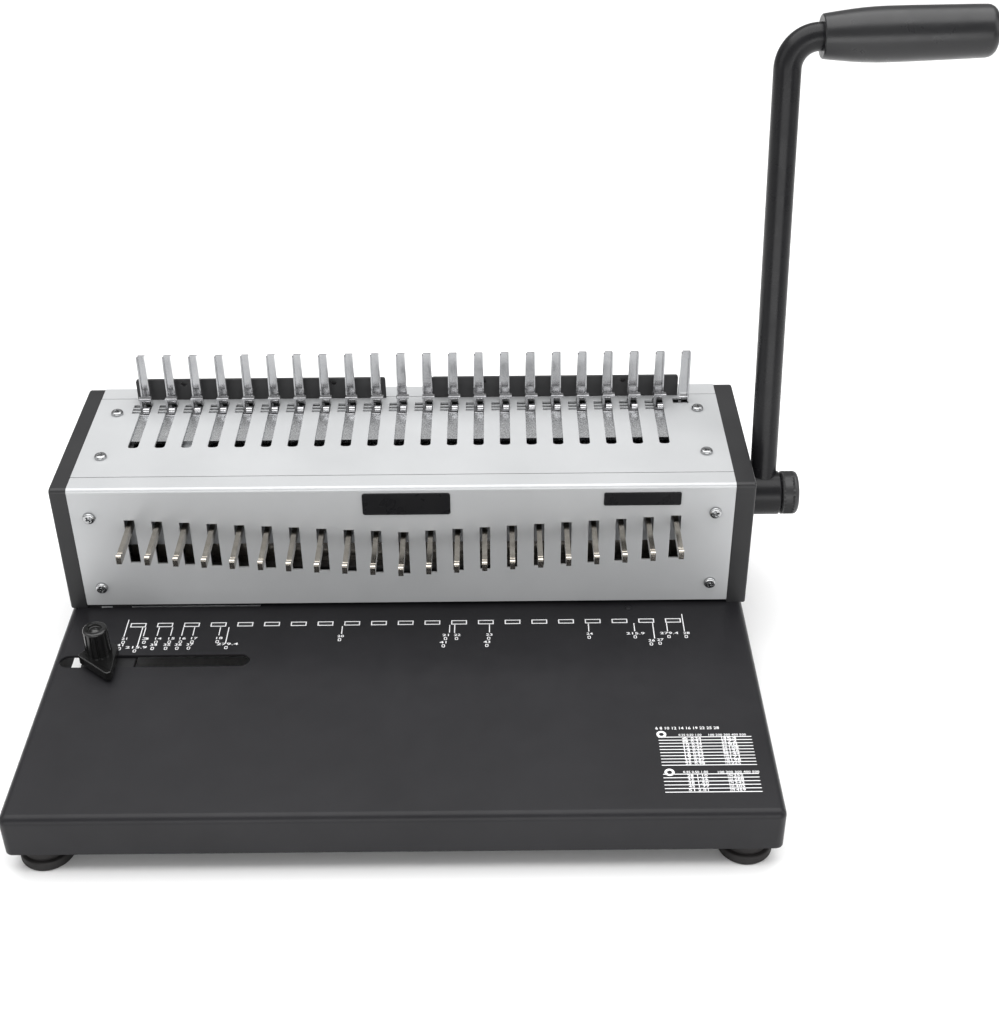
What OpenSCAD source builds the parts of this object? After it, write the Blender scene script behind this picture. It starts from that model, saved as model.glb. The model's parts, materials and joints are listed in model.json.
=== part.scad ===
// Manual comb binding machine: punch head with disengaging pins, comb opener and side handle.
// Millimetres. The drawing frame has X = 0 on the machine's centre plane, Y = 0 on the front
// face of the base and Z = 0 on the base's flat top. The finished part is moved so that its
// origin lies under the middle of its bounding box, on the surface that its feet stand on.

/* [Base] */
// Depth of the flat paper table in front of the punch head
apron_d = 158.4; // [150:0.1:180]
// Height of the folded skirt, top face to lower edge
base_h = 22.7; // [21.5:0.1:28]
// Thickness of the base's sheet steel
base_sheet = 1.5; // [1.2:0.1:1.8]
// Outside radius of the folded edges and corners
base_r = 4; // [3:0.5:6]
// Depth of the inturned flanges that carry the feet
flange_d = 27; // [26:0.5:34]
// Height of a rubber foot below the skirt
foot_h = 12; // [8:0.5:18]
// Radius of a rubber foot
foot_r = 13; // [9:0.5:14]
// Distance of a foot's centre from the base's outer faces
foot_inset = 16; // [15.5:0.25:20]

/* [Punch head] */
// Depth of the head, front face to back face
head_d = 105.9; // [105:0.1:112]
// Height of the head above the base's top
head_h = 76.6; // [76.6:0.1:84]
// Width of each side cover
cover_w = 9; // [8:0.5:12]
// Wall of the side covers
cover_wall = 1.8; // [1.2:0.1:2.2]
// Thickness of the silver panels
panel_t = 1.2; // [0.8:0.1:1.4]
// Outside radius of the panels' folds
fold_r = 2.2; // [1.8:0.1:3]
// Depth of the front cover's folded top strip
front_strip = 12.1; // [10:0.1:14]
// Depth of the rear cover's folded top strip
rear_strip = 12.5; // [11:0.1:14]
// Height of the paper throat under the front cover
throat_h = 2; // [1.6:0.1:2.4]
// Thickness of the side frames
frame_t = 3; // [2.5:0.1:3.4]

/* [Hole pattern] */
// Number of punched holes, punch pins, pulls and opener hooks
hole_count = 21; // [15:1:21]
// Distance from hole to hole, 9/16 inch
hole_pitch = 14.2875; // [13.5:0.0125:14.3]
// Length of one punched hole along the paper's edge
hole_len = 8; // [7:0.1:8.4]
// Width of one punched hole
hole_wid = 3; // [2.6:0.1:3.2]
// Distance from the last hole's middle to the base's side
side_room = 39.375; // [38:0.125:50]
// Clearance of a punch pin in its guide and die
pin_gap = 0.15; // [0.1:0.05:0.2]
// Travel of the punch bar for a quarter turn of the handle
stroke = 14; // [13.6:0.05:14]

/* [Pin pulls] */
// Length of a pull in front of the head
pull_reach = 30; // [20:0.2:32]
// Height of each pull and pin below its outer neighbour, falling towards the middle
pin_step = 0.905; // [0:0.005:0.95]
// Width of a pull
pull_w = 2.6; // [2.4:0.1:3.2]
// Height of a pull
pull_h = 4.5; // [3.6:0.1:4.8]
// Travel of a pull
pull_travel = 10; // [9:0.5:10]
// Width of the slots in the front cover
front_slot_w = 5.4; // [4.4:0.1:5.6]
// Height of the slots in the front cover
front_slot_h = 27.4; // [25:0.1:28.5]

/* [Comb opener] */
// Height of a tine above the head
tine_h = 32; // [24:0.5:36]
// Width of a tine where it leaves the head
tine_w = 5.4; // [4.6:0.1:5.6]
// Width of a tine near its tip
tine_tip_w = 4.4; // [3.6:0.1:4.8]
// Depth of a tine's folded sides
tine_d = 4.2; // [3.4:0.1:4.6]
// Thickness of the tines' sheet
tine_t = 1.2; // [0.8:0.1:1.2]
// Width of the slots in the top panel
top_slot_w = 5.6; // [5.4:0.1:6.4]
// Length of the slots, from the front end to the rear of the tines
top_slot_l = 46.6; // [46:0.1:50]
// Height of a hook above the head
hook_h = 7.8; // [6:0.1:9]
// Height of the black comb rests above the head
rest_h = 12.7; // [10:0.1:18]

/* [Handle] */
// Radius of the cross shaft
shaft_r = 6; // [5:0.1:6]
// Running clearance between the shaft and its bushes
shaft_fit = 0.03; // [0.02:0.01:0.08]
// Teeth on the pinions that move the punch bar
punch_teeth = 12; // [12:1:12]
// Teeth on the pinions that move the opener
opener_teeth = 24; // [24:1:24]
// Radius of the handle's hub
hub_r = 11.9; // [11:0.1:14]
// Length of the hub
hub_l = 21.6; // [18:0.2:26]
// Radius of the bent rod
rod_r = 7; // [5.5:0.05:7.5]
// Distance from the shaft's axis to the grip's axis
arm_l = 240; // [200:1:260]
// Bend radius of the rod on its centre line
bend_r = 15.5; // [12:0.5:18]
// Backward lean of the rod at rest, degrees
lean = 13.8; // [5:0.1:16]
// Length of the grip
grip_l = 85.5; // [80:0.5:110]
// Radius of the grip
grip_r = 13.25; // [12:0.05:16]
// Radius of the grip's neck, beside the rod's bend
neck_r = 10.8; // [9:0.1:11.5]
// Length of the clamp knob on the hub's end
knob_l = 9.1; // [7:0.1:12]

/* [Margin guide] */
// Length of the guide's slot in the table
guide_slot_l = 98.6; // [92:0.2:110]
// Width of the guide's slot
guide_slot_w = 9.5; // [8.5:0.1:11]
// Distance of the slot's left end from the base's left face
guide_slot_in = 4; // [3.9:0.1:8]
// Distance of the slot's middle from the base's front
guide_slot_y = 113.2; // [100:0.2:118]
// Radius of the guide knob
guide_knob_r = 6.7; // [5.5:0.1:9]
// Height of the guide knob
guide_knob_h = 15.6; // [12:0.2:22]
// Reach of the pointer's tip from the knob's axis
pointer_r = 18.7; // [14:0.1:20]

/* [Chip tray] */
// Width of the tray
tray_w = 292; // [260:1:296]
// Wall of the tray
tray_wall = 1.6; // [1.2:0.1:2.2]

/* [Hidden] */
$fn = 64;
PI_ = 3.14159265;
gap = 0.3;             // clearance between pieces that move past each other
seat = 0.1;            // clearance between pieces that are screwed together
cut = 1;               // how far a cutter runs past the face that it opens
pressure_angle = 25;   // flank angle of the gear teeth, degrees
tooth_play = 0.15;     // gap beside a tooth in mesh

// Levels and planes of the base and the head
holes_half = (hole_count - 1) * hole_pitch / 2;
half_w = holes_half + side_room;
base_w = 2 * half_w;
panel_half = half_w - cover_w - seat;
head_y = apron_d;
back_y = apron_d + head_d;
base_d = back_y;
panel_low = head_h - panel_t;
strip_y = head_y + front_strip;
rear_y = back_y - rear_strip;
frame_out = half_w - cover_w - 2;
frame_in = frame_out - frame_t;
frame_flange_w = 12;
frame_flange_in = frame_in - frame_flange_w;
frame_flange_t = 2;

// Drive: the punch pins' plane, the opener plate's level, the gears and the shaft's axis
pin_y = head_y + 11.6;
rake_t = 1.8;
rake_top = panel_low - 0.4;
gear_module = 4 * stroke / (PI_ * punch_teeth);
punch_pitch_r = gear_module * punch_teeth / 2;
opener_pitch_r = gear_module * opener_teeth / 2;
addendum = 0.8 * gear_module;
dedendum = 1.05 * gear_module;
gear_w = 8;
shaft_y = pin_y + 26;
rack_back = 9.075;
shaft_z = rake_top - rake_t - rack_back - opener_pitch_r;
punch_gear_x = holes_half - 3.9;
opener_gear_x = punch_gear_x - 20;
bush_wall = 2;
bush_flange = 1.5;
hub_x = half_w + 0.9;
rod_x = hub_x + hub_l / 2;
grip_x = rod_x + bend_r + 0.5;
grip_end_x = grip_x + grip_l;

// Punch: its guide, die and bar
block_d = 13.8;
block_y = pin_y - 6.6;
die_h = 7;
die_ledge = 5;
pin_low = throat_h + 1.3;
bar_y = pin_y - 5.8;
bar_d = 11.4;
pin_drop = pin_step * (hole_count - 1) / 2;
bar_low = shaft_z + 0.7 - pin_drop;
bar_h = 19 + pin_drop;
guide_top = bar_low - stroke - 1;
punch_rack_back = 7.9;
bar_half = holes_half + 8;
pull_low = bar_low + pin_drop + 3.7;
pull_in = pin_y + 6 - head_y;
front_slot_z = pull_low + pull_h + 2.2 - front_slot_h;

// Opener: slots, hooks, plate and tines
row_x0 = -holes_half - 3.1;
pins_x0 = -holes_half;
tine_y = rear_y - 9.8;
slot_rear_y = tine_y + tine_d + 1;
slot_front_y = slot_rear_y - top_slot_l;
window_w = 4.5;
window_l = 9.4;
rake_half = holes_half + 9.4;
rake_rear_y = tine_y - 1.4;
rake_front_y = slot_front_y + 7.6;
finger_l = 16;
finger_half = 4.6;
hook_w = top_slot_w - 0.6;
hook_t = 1.6;
hook_d = 6.8;
rail_t = 1.5;
rail_low = shaft_z + 3.7;
rail_y = tine_y + tine_t + seat / 2;
rest_t = 1.5;
rest_y = rear_y - rest_t - seat;
rest_left = [-holes_half - 2.5, -12.5];
rest_right = [13.2, holes_half + 6.7];

// Margin guide and chip tray
guide_x = -half_w + 25.4;
guide_slot_x = -half_w + guide_slot_in;
slider_t = 3;
slider_half = 10;
slider_left = 10.2;
slider_right = 17;
stop_y = head_y + 0.5;
stop_d = 2.4;
tray_y = head_y + 2;
tray_low = -base_h + 0.8;
tray_top = pin_low - stroke - 0.4;
tray_rim = 4;
tray_lip = 8;
runner_t = 1.3;

// Screws
screw_r = 1.75;
screw_head_r = 3.3;
screw_head_h = 1.9;
front_screw_x = half_w - 18.9;
front_screw_z = [14, head_h - 17.2];
top_screw_x = half_w - 21.2;
top_screw_y = [head_y + 31.3, back_y - 29.5];
frame_screw_y = [head_y + 30, back_y - 14];
cover_boss = [[head_y + 20, head_h - 11.6], [back_y - 11.4, 30]];
guide_screw = [pin_y + 0.3, guide_top - 8];
die_screw_x = [-7 * hole_pitch, 0, 7 * hole_pitch];
die_screw_y = block_y + block_d + 2.7;
die_screw_r = 1.45;

// Middle of the bounding box and height of the base's top above the floor
mid_x = (grip_end_x - half_w) / 2;
grip_y = shaft_y + arm_l * sin(lean);
mid_y = max(grip_y + grip_r, back_y + tray_lip) / 2;
base_top = foot_h + base_h;

// Finishes
charcoal = "#3b3b3f";
silver = "#c4c7c9";
bright = "#dfe3e6";
nickel = "#b9b2a6";
steel = "#8e9194";
black = "#1b1b1d";
bronze = "#b08d57";

function pull_name(k) = str("pin_pull_", k < 10 ? "0" : "", k);
function pin_x(k) = pins_x0 + (k - 1) * hole_pitch;
// How far pin k sits below the two end pins
function drop(k) = pin_step * ((hole_count - 1) / 2 - abs(k - (hole_count + 1) / 2));
function row_x(k) = row_x0 + (k - 1) * hole_pitch;
// Involute angle of a pressure angle, degrees
function involute(a) = tan(a) * 180 / PI_ - a;

// Moves a piece from the drawing frame to the finished part's frame
module placed() {
    translate([-mid_x, -mid_y, base_top]) children();
}

// A box given by its low and high corners
module block(low, high) {
    translate(low) cube(high - low);
}

// What lies outside a rounded corner at p; in_x and in_y point into the body
module corner_waste(p, in_x, in_y, r) {
    translate(p) difference() {
        translate([in_x > 0 ? -cut : -r, in_y > 0 ? -cut : -r]) square(r + cut);
        translate([in_x * r, in_y * r]) circle(r);
    }
}

// A profile drawn in Y and Z, extruded from x0 to x1
module across(x0, x1) {
    translate([x0, 0, 0]) rotate([90, 0, 90]) linear_extrude(x1 - x0) children();
}

// A slot with two round ends along X
module stadium(length, width, height) {
    r = width / 2;
    translate([r, -r, 0]) cube([length - width, width, height]);
    for (x = [r, length - r]) translate([x, 0, 0]) cylinder(r = r, h = height);
}

// A folded pan, open below: flat top at z = 0, all outer edges rounded
module pan(w, d, h, r) {
    translate([-w / 2 + r, 0, -h]) cube([w - 2 * r, d, h - r]);
    translate([-w / 2, r, -h]) cube([w, d - 2 * r, h - r]);
    translate([-w / 2 + r, r, -r - 0.01]) cube([w - 2 * r, d - 2 * r, r + 0.01]);
    for (x = [-w / 2 + r, w / 2 - r]) {
        for (y = [r, d - r]) {
            translate([x, y, -h]) cylinder(r = r, h = h - r);
            translate([x, y, -r]) sphere(r);
        }
        translate([x, r, -r]) rotate([-90, 0, 0]) cylinder(r = r, h = d - 2 * r);
    }
    for (y = [r, d - r])
        translate([-w / 2 + r, y, -r]) rotate([0, 90, 0]) cylinder(r = r, h = w - 2 * r);
}

// Pan-head screw, its head's seat at z = 0 and its shank below, with a cross recess
module screw(length, head_r = screw_head_r, head_h = screw_head_h, r = screw_r - 0.1) {
    difference() {
        union() {
            rotate_extrude() intersection() {
                square([head_r, head_h]);
                translate([0, head_h - 1.6 * head_r]) circle(1.6 * head_r);
            }
            translate([0, 0, -length]) cylinder(r = r, h = length + 0.01);
        }
        for (a = [0, 90]) rotate([0, 0, a])
            translate([-head_r * 0.55, -0.45, head_h - 1.1]) cube([head_r * 1.1, 0.9, cut + 1.1]);
    }
}

// ---- Base ----

module feet_at() {
    for (x = [-half_w + foot_inset, half_w - foot_inset])
        for (y = [foot_inset - 2.5, base_d - foot_inset + 2.5]) translate([x, y, -base_h]) children();
}

module base_shell() {
    inner = base_r - base_sheet;
    color(charcoal) placed() difference() {
        union() {
            difference() {
                pan(base_w, base_d, base_h, base_r);
                translate([0, base_sheet, -base_sheet])
                    pan(base_w - 2 * base_sheet, base_d - 2 * base_sheet, base_h + cut, inner);
            }
            for (y = [base_sheet, base_d - flange_d])
                block([-half_w + base_sheet, y, -base_h],
                      [half_w - base_sheet, y + flange_d - base_sheet, -base_h + base_sheet]);
        }
        // opening for the die and its paper throat
        block([-frame_in + cut, block_y - seat, -base_sheet - cut],
              [frame_in - cut, block_y + block_d + seat, cut]);
        // slot for the margin guide, and the hidden slot for its paper stop
        translate([guide_slot_x, guide_slot_y, -base_sheet - cut])
            stadium(guide_slot_l, guide_slot_w, base_sheet + 2 * cut);
        block([guide_slot_x, stop_y - gap, -base_sheet - cut],
              [guide_slot_x + guide_slot_l, stop_y + stop_d + gap, cut]);
        // mouth for the chip tray in the rear skirt and flange
        block([-tray_w / 2 - tray_rim - gap, back_y - flange_d - cut, -base_h - cut],
              [tray_w / 2 + tray_rim + gap, back_y + cut, tray_top + gap]);
        feet_at() translate([0, 0, -cut]) cylinder(r = screw_r, h = base_sheet + 2 * cut);
        // screws that hold the side frames and the die
        frame_foot_screws() translate([0, 0, -cut]) cylinder(r = screw_r, h = base_sheet + 2 * cut);
        for (x = die_screw_x) translate([x, die_screw_y, -base_sheet - cut])
            cylinder(r = die_screw_r, h = base_sheet + 2 * cut);
    }
}

module rubber_feet() {
    color(black) placed() feet_at() rotate_extrude() difference() {
        union() {
            translate([0, -foot_h]) square([foot_r, foot_h * 0.45]);
            translate([0, -foot_h]) square([foot_r * 0.86, foot_h]);
        }
        translate([0, -foot_h + 4]) square([screw_r, foot_h]);
        translate([0, -foot_h - cut]) square([screw_head_r + 0.4, cut + 4]);
        corner_waste([foot_r, -foot_h], -1, 1, 1.2);
        corner_waste([foot_r, -foot_h * 0.55], -1, -1, 1);
    }
}

module foot_screws() {
    color(steel) placed() feet_at() translate([0, 0, -foot_h + 4]) mirror([0, 0, 1])
        screw(foot_h - 4 + base_sheet + 2);
}

// ---- Frames and covers ----

module frame_foot_screws() {
    for (s = [-1, 1]) for (y = frame_screw_y)
        translate([s * (frame_in - 6), y, -base_sheet]) children();
}

// Side frame on the side s: plate with folded front, rear, top and bottom flanges
module side_frame(s) {
    front = head_y + panel_t + seat;
    rear = back_y - panel_t - seat;
    t = frame_flange_t;
    mirror([s < 0 ? 1 : 0, 0, 0]) difference() {
        union() {
            block([frame_in, front, 0], [frame_out, rear, panel_low]);
            block([frame_flange_in, front, throat_h], [frame_out, front + t, panel_low]);
            block([frame_flange_in, rear - t, 0], [frame_out, rear, panel_low]);
            block([frame_flange_in, front, panel_low - t], [frame_out, tine_y - gap, panel_low]);
            block([frame_flange_in, block_y + block_d + 3, 0], [frame_out, rear, t]);
        }
        across(frame_in - cut, frame_out + cut) translate([shaft_y, shaft_z])
            circle(shaft_r + bush_wall);
        // paper throat through the plate's front corner
        block([frame_in - cut, head_y, -cut], [frame_out + cut, block_y + block_d - 3, throat_h]);
        for (y = [front - cut, rear - t - cut]) for (z = front_screw_z)
            translate([front_screw_x, y, z]) rotate([-90, 0, 0]) cylinder(r = screw_r, h = t + 2 * cut);
        for (y = top_screw_y) translate([top_screw_x, y, panel_low - t - cut])
            cylinder(r = screw_r, h = t + 2 * cut);
        for (y = frame_screw_y) translate([frame_in - 6, y, -cut])
            cylinder(r = screw_r, h = t + 2 * cut);
        for (p = concat(cover_boss, [guide_screw])) translate([frame_in - cut, p[0], p[1]])
            rotate([0, 90, 0]) cylinder(r = screw_r, h = frame_t + 2 * cut);
    }
}

module side_frame_left() {
    color(steel) placed() side_frame(-1);
}

module side_frame_right() {
    color(steel) placed() side_frame(1);
}

// Outline of a side cover, drawn in Y and Z, shrunk by its wall w
module cover_outline(w) {
    difference() {
        translate([head_y + w, seat + w]) square([head_d - 2 * w, head_h - seat - 2 * w]);
        corner_waste([back_y - w, head_h - w], -1, -1, 8 - w);
        corner_waste([head_y + w, head_h - w], 1, -1, 2.6 - w);
        corner_waste([head_y + w, seat + w], 1, 1, 5 - w);
        corner_waste([back_y - w, seat + w], -1, 1, 3 - w);
    }
}

// Side cover: a shell open towards the machine's middle, with two bosses for its screws
module side_cover(s) {
    mirror([s < 0 ? 1 : 0, 0, 0]) difference() {
        union() {
            difference() {
                across(half_w - cover_w, half_w) cover_outline(0);
                across(half_w - cover_w - cut, half_w - cover_wall) cover_outline(cover_wall);
            }
            for (p = cover_boss) across(frame_out + seat, half_w - cover_wall + 0.1)
                translate(p) circle(3.6);
        }
        for (p = cover_boss) across(frame_out, half_w - cover_wall - 1) translate(p) circle(screw_r);
        if (s > 0) across(half_w - cover_w, half_w + cut) translate([shaft_y, shaft_z])
            circle(shaft_r + 0.6);
    }
}

module side_cover_left() {
    color(charcoal) placed() side_cover(-1);
}

module side_cover_right() {
    color(charcoal) placed() side_cover(1);
}

// Front cover: folded sheet with a top strip and the slots for the pin pulls
module front_cover() {
    color(silver) placed() difference() {
        across(-panel_half, panel_half) difference() {
            translate([head_y, throat_h]) square([front_strip - seat, head_h - throat_h]);
            translate([head_y + panel_t, throat_h - cut])
                square([front_strip, head_h - throat_h - panel_t + cut]);
            corner_waste([head_y, head_h], 1, -1, fold_r);
        }
        for (k = [1 : hole_count])
            translate([pin_x(k), 0, front_slot_z - drop(k)])
                block([-front_slot_w / 2, head_y - cut, 0],
                      [front_slot_w / 2, head_y + panel_t + cut, front_slot_h]);
        for (x = [-front_screw_x, front_screw_x]) for (z = front_screw_z)
            translate([x, head_y - cut, z]) rotate([-90, 0, 0]) cylinder(r = screw_r, h = panel_t + 2 * cut);
    }
}

// Top panel: hook slots with a side window for the comb's fingers, and a slit for the last tine
module top_panel() {
    color(silver) placed() difference() {
        block([-panel_half, strip_y, panel_low], [panel_half, rear_y - seat, head_h]);
        translate([0, 0, panel_low - cut]) linear_extrude(panel_t + 2 * cut) {
            for (k = [1 : hole_count]) translate([row_x(k), slot_front_y]) difference() {
                union() {
                    translate([-top_slot_w / 2, 0]) square([top_slot_w, top_slot_l]);
                    translate([-top_slot_w / 2 - window_w, rake_rear_y - 5.2 - slot_front_y])
                        square([window_w + 1, window_l]);
                }
                for (s = [-1, 1]) corner_waste([s * top_slot_w / 2, 0], -s, 1, 1.6);
            }
            translate([row_x(hole_count + 1) - top_slot_w / 2 - 3, tine_y - 0.6])
                square([top_slot_w + 3, tine_d + 1.6]);
        }
        for (r = [rest_left, rest_right])
            block([r[0] - seat, rest_y - seat, panel_low - cut], [r[1] + seat, rear_y, head_h + cut]);
        for (x = [-top_screw_x, top_screw_x]) for (y = top_screw_y)
            translate([x, y, panel_low - cut]) cylinder(r = screw_r, h = panel_t + 2 * cut);
    }
}

// Rear cover: folded sheet with a top strip
module rear_cover() {
    color(silver) placed() difference() {
        across(-panel_half, panel_half) difference() {
            translate([rear_y, seat]) square([rear_strip, head_h - seat]);
            translate([rear_y - cut, seat - cut])
                square([rear_strip - panel_t + cut, head_h - panel_t - seat + cut]);
            corner_waste([back_y, head_h], -1, -1, fold_r);
        }
        for (x = [-front_screw_x, front_screw_x]) for (z = front_screw_z)
            translate([x, back_y - panel_t - cut, z]) rotate([-90, 0, 0])
                cylinder(r = screw_r, h = panel_t + 2 * cut);
    }
}

module cover_screws() {
    color(bright) placed() {
        for (x = [-front_screw_x, front_screw_x]) for (z = front_screw_z)
            translate([x, head_y, z]) rotate([90, 0, 0]) screw(4.6);
        for (x = [-front_screw_x, front_screw_x]) for (z = front_screw_z)
            translate([x, back_y, z]) rotate([-90, 0, 0]) screw(6);
        for (x = [-top_screw_x, top_screw_x]) for (y = top_screw_y)
            translate([x, y, head_h]) rotate([0, 0, 30]) screw(6);
    }
}

// Screws inside the head: frames to base, guide to frames, covers to frames, die to base
module frame_screws() {
    color(steel) placed() {
        frame_foot_screws() mirror([0, 0, 1]) screw(5);
        for (s = [-1, 1]) {
            translate([s * frame_out, guide_screw[0], guide_screw[1]]) rotate([0, s * 90, 0])
                screw(frame_t + 6, 2.6, 1.5);
            for (p = cover_boss) translate([s * frame_in, p[0], p[1]]) rotate([0, -s * 90, 0])
                screw(frame_t + 6);
        }
        for (x = die_screw_x) translate([x, die_screw_y, 0]) screw(6, 2.2, 1.2, die_screw_r - 0.1);
    }
}

// ---- Punch ----

module pin_holes(low, high, play) {
    for (k = [1 : hole_count])
        block([pin_x(k) - hole_len / 2 - play, pin_y - hole_wid / 2 - play, low - cut],
              [pin_x(k) + hole_len / 2 + play, pin_y + hole_wid / 2 + play, high + cut]);
}

// Die: hardened bar let into the table, with a ledge behind that lies under the sheet
module die_plate() {
    color(steel) placed() difference() {
        union() {
            block([-frame_in + cut + seat, block_y, -die_h],
                  [frame_in - cut - seat, block_y + block_d, 0]);
            block([-frame_in + cut + seat, block_y, -die_h],
                  [frame_in - cut - seat, block_y + block_d + die_ledge, -base_sheet]);
        }
        pin_holes(-die_h, 0, pin_gap);
        for (x = die_screw_x) translate([x, die_screw_y, -die_h - cut])
            cylinder(r = die_screw_r, h = die_h + 2 * cut);
    }
}

// Strip behind the throat that stops the paper's edge and sets the throat's height
module paper_backstop() {
    color(steel) placed()
        block([-frame_in, block_y + block_d - 2.6, 0], [frame_in, block_y + block_d, throat_h]);
}

// Guide that holds the punch pins upright and strips the paper off them
module punch_guide() {
    color(black) placed() difference() {
        block([-frame_in, block_y, throat_h], [frame_in, block_y + block_d, guide_top]);
        pin_holes(throat_h, guide_top, pin_gap);
        for (s = [-1, 1]) translate([s * (frame_in + cut), guide_screw[0], guide_screw[1]])
            rotate([0, -s * 90, 0]) cylinder(r = screw_r, h = 8);
    }
}

// Rack with n spaces, its pitch line on the X axis, teeth towards +Y, back at y = -back
module rack_profile(n, back) {
    p = PI_ * gear_module;
    half = p / 4 - tooth_play;
    rise = tan(pressure_angle);
    polygon(concat(
        [[0, -back]],
        [for (i = [0 : n - 1]) for (q = [
            [i * p, -dedendum],
            [i * p + p / 2 - half - dedendum * rise, -dedendum],
            [i * p + p / 2 - half + addendum * rise, addendum],
            [i * p + p / 2 + half - addendum * rise, addendum],
            [i * p + p / 2 + half + dedendum * rise, -dedendum]]) q],
        [[n * p, -dedendum], [n * p, -back]]));
}

// Punch bar: carries the pulls, drives the pins and bears two racks
module punch_bar() {
    back = punch_rack_back;
    rack_n = 5;
    color(steel) placed() {
        difference() {
            union() {
                block([-bar_half, bar_y, bar_low], [bar_half, bar_y + bar_d, bar_low + bar_h]);
                for (s = [-1, 1]) {
                    x0 = s * punch_gear_x - gear_w / 2;
                    block([x0, bar_y + bar_d - cut, bar_low],
                          [x0 + gear_w, shaft_y - punch_pitch_r - back + cut, bar_low + bar_h]);
                    across(x0, x0 + gear_w)
                        translate([shaft_y - punch_pitch_r, shaft_z - PI_ * gear_module])
                            rotate([0, 0, 90]) mirror([0, 1, 0]) rack_profile(rack_n, back);
                }
            }
            for (k = [1 : hole_count]) {
                low = pull_low - drop(k);
                block([pin_x(k) - pull_w / 2 - seat, bar_y - cut, low - seat],
                      [pin_x(k) + pull_w / 2 + seat, bar_y + bar_d + cut, low + pull_h + seat]);
                block([pin_x(k) - hole_len / 2 - pin_gap, pin_y - hole_wid / 2 - pin_gap, bar_low - cut],
                      [pin_x(k) + hole_len / 2 + pin_gap, pin_y + hole_wid / 2 + pin_gap, low + stroke]);
            }
        }
    }
}

// Punch pins: flat bars with a hollow-ground lower end
module punch_pins() {
    low = pin_low + pin_drop;
    color(bright) placed() for (k = [1 : hole_count]) translate([pin_x(k), 0, -drop(k)]) difference() {
        block([-hole_len / 2, pin_y - hole_wid / 2, low],
              [hole_len / 2, pin_y + hole_wid / 2, pull_low - seat]);
        translate([0, pin_y + hole_wid, low - hole_len]) rotate([90, 0, 0])
            cylinder(r = hole_len + 0.7, h = 2 * hole_wid);
    }
}

// Pin pull k: a flat key over its pin, with a rounded lip at its front end
module pin_pull(k) {
    tip_y = head_y - pull_reach;
    color(nickel) placed() translate([pin_x(k) - pull_w / 2, 0, -drop(k)]) across(0, pull_w) difference() {
        union() {
            translate([tip_y, pull_low]) square([pull_reach + pull_in, pull_h]);
            translate([tip_y + 1.6, pull_low + pull_h - 0.8]) circle(1.6);
        }
        corner_waste([tip_y, pull_low], 1, 1, 0.8);
    }
}

// ---- Comb opener ----

// Tine k: a tapered channel, its web in front and its folded sides behind, on a flat foot
module tine(k) {
    slope = (tine_w - tine_tip_w) / 2;
    low = head_h + 0.8;
    top = head_h + tine_h;
    translate([row_x(k), 0, 0]) {
        difference() {
            translate([0, tine_y + tine_d, 0]) rotate([90, 0, 0]) linear_extrude(tine_d) polygon([
                [-tine_w / 2, low], [tine_w / 2, low], [tine_w / 2 - slope, top - 2],
                [tine_w / 2 - slope - 1.1, top], [-tine_w / 2 + slope + 1.1, top],
                [-tine_w / 2 + slope, top - 2]]);
            translate([0, tine_y + tine_d + cut, 0]) rotate([90, 0, 0])
                linear_extrude(tine_d - tine_t + cut) polygon([
                    [-tine_w / 2 + tine_t * 0.8, low - cut], [tine_w / 2 - tine_t * 0.8, low - cut],
                    [tine_w / 2 - slope - tine_t * 0.8, top + cut],
                    [-tine_w / 2 + slope + tine_t * 0.8, top + cut]]);
            // round the fold at the two front edges
            for (s = [-1, 1]) translate([s * tine_w / 2, tine_y, low - cut])
                linear_extrude(tine_h + 2) corner_waste([0, 0], -s, 1, 0.9);
        }
        block([-tine_w / 2, tine_y, rail_low + 8], [tine_w / 2, tine_y + tine_t, low + 0.2]);
    }
}

module fixed_tines() {
    color(bright) placed() for (k = [1 : hole_count + 1]) tine(k);
}

// Rail that the tines are riveted to, with a stepped finger beside each tine
module tine_rail() {
    color(bright) placed() {
        block([-frame_in, rail_y, rail_low], [frame_in, rail_y + rail_t, rake_top - rake_t - 1]);
        for (k = [1 : hole_count + 1])
            block([row_x(k) - tine_w / 2 - 4, rail_y, rake_top - rake_t - 1.5],
                  [row_x(k) + tine_w / 2, rail_y + rail_t, panel_low - gap]);
    }
}

// Black rests behind the tines, folded under the rear cover's strip
module comb_rests() {
    color(black) placed() for (r = [rest_left, rest_right]) {
        length = r[1] - r[0];
        translate([r[0], 0, 0]) difference() {
            union() {
                translate([0, rest_y + rest_t, 0]) rotate([90, 0, 0]) linear_extrude(rest_t)
                    difference() {
                        translate([0, panel_low - 1.6]) square([length, rest_h + panel_t + 1.6]);
                        corner_waste([0, head_h + rest_h], 1, -1, 1.5);
                        corner_waste([length, head_h + rest_h], -1, -1, 1.5);
                    }
                block([0, rest_y, panel_low - 1.6], [length, back_y - panel_t - 2, panel_low - seat]);
            }
            for (x = r[0] < 0 ? [20, length - 29] : [29, length - 29])
                translate([x, rest_y - cut, head_h + rest_h - 2.6]) rotate([-90, 0, 0])
                    cylinder(r = 1.5, h = rest_t + 2 * cut);
        }
    }
}

// Rails under the side frames' top flanges that carry the opener's plate
module opener_rails() {
    low = panel_low - frame_flange_t - 2.8;
    color(black) placed() for (s = [-1, 1]) mirror([s < 0 ? 1 : 0, 0, 0]) difference() {
        union() {
            block([rake_half - 5, rake_front_y - 2 * stroke - 1, low],
                  [frame_in - 1, rail_y - 2, rake_top - rake_t - gap]);
            block([frame_flange_in, rake_front_y - 2 * stroke - 1, low],
                  [frame_in - 1, rail_y - 2, panel_low - frame_flange_t]);
        }
        for (y = top_screw_y) translate([top_screw_x, y, low - cut]) cylinder(r = screw_r, h = 6);
    }
}

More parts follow.
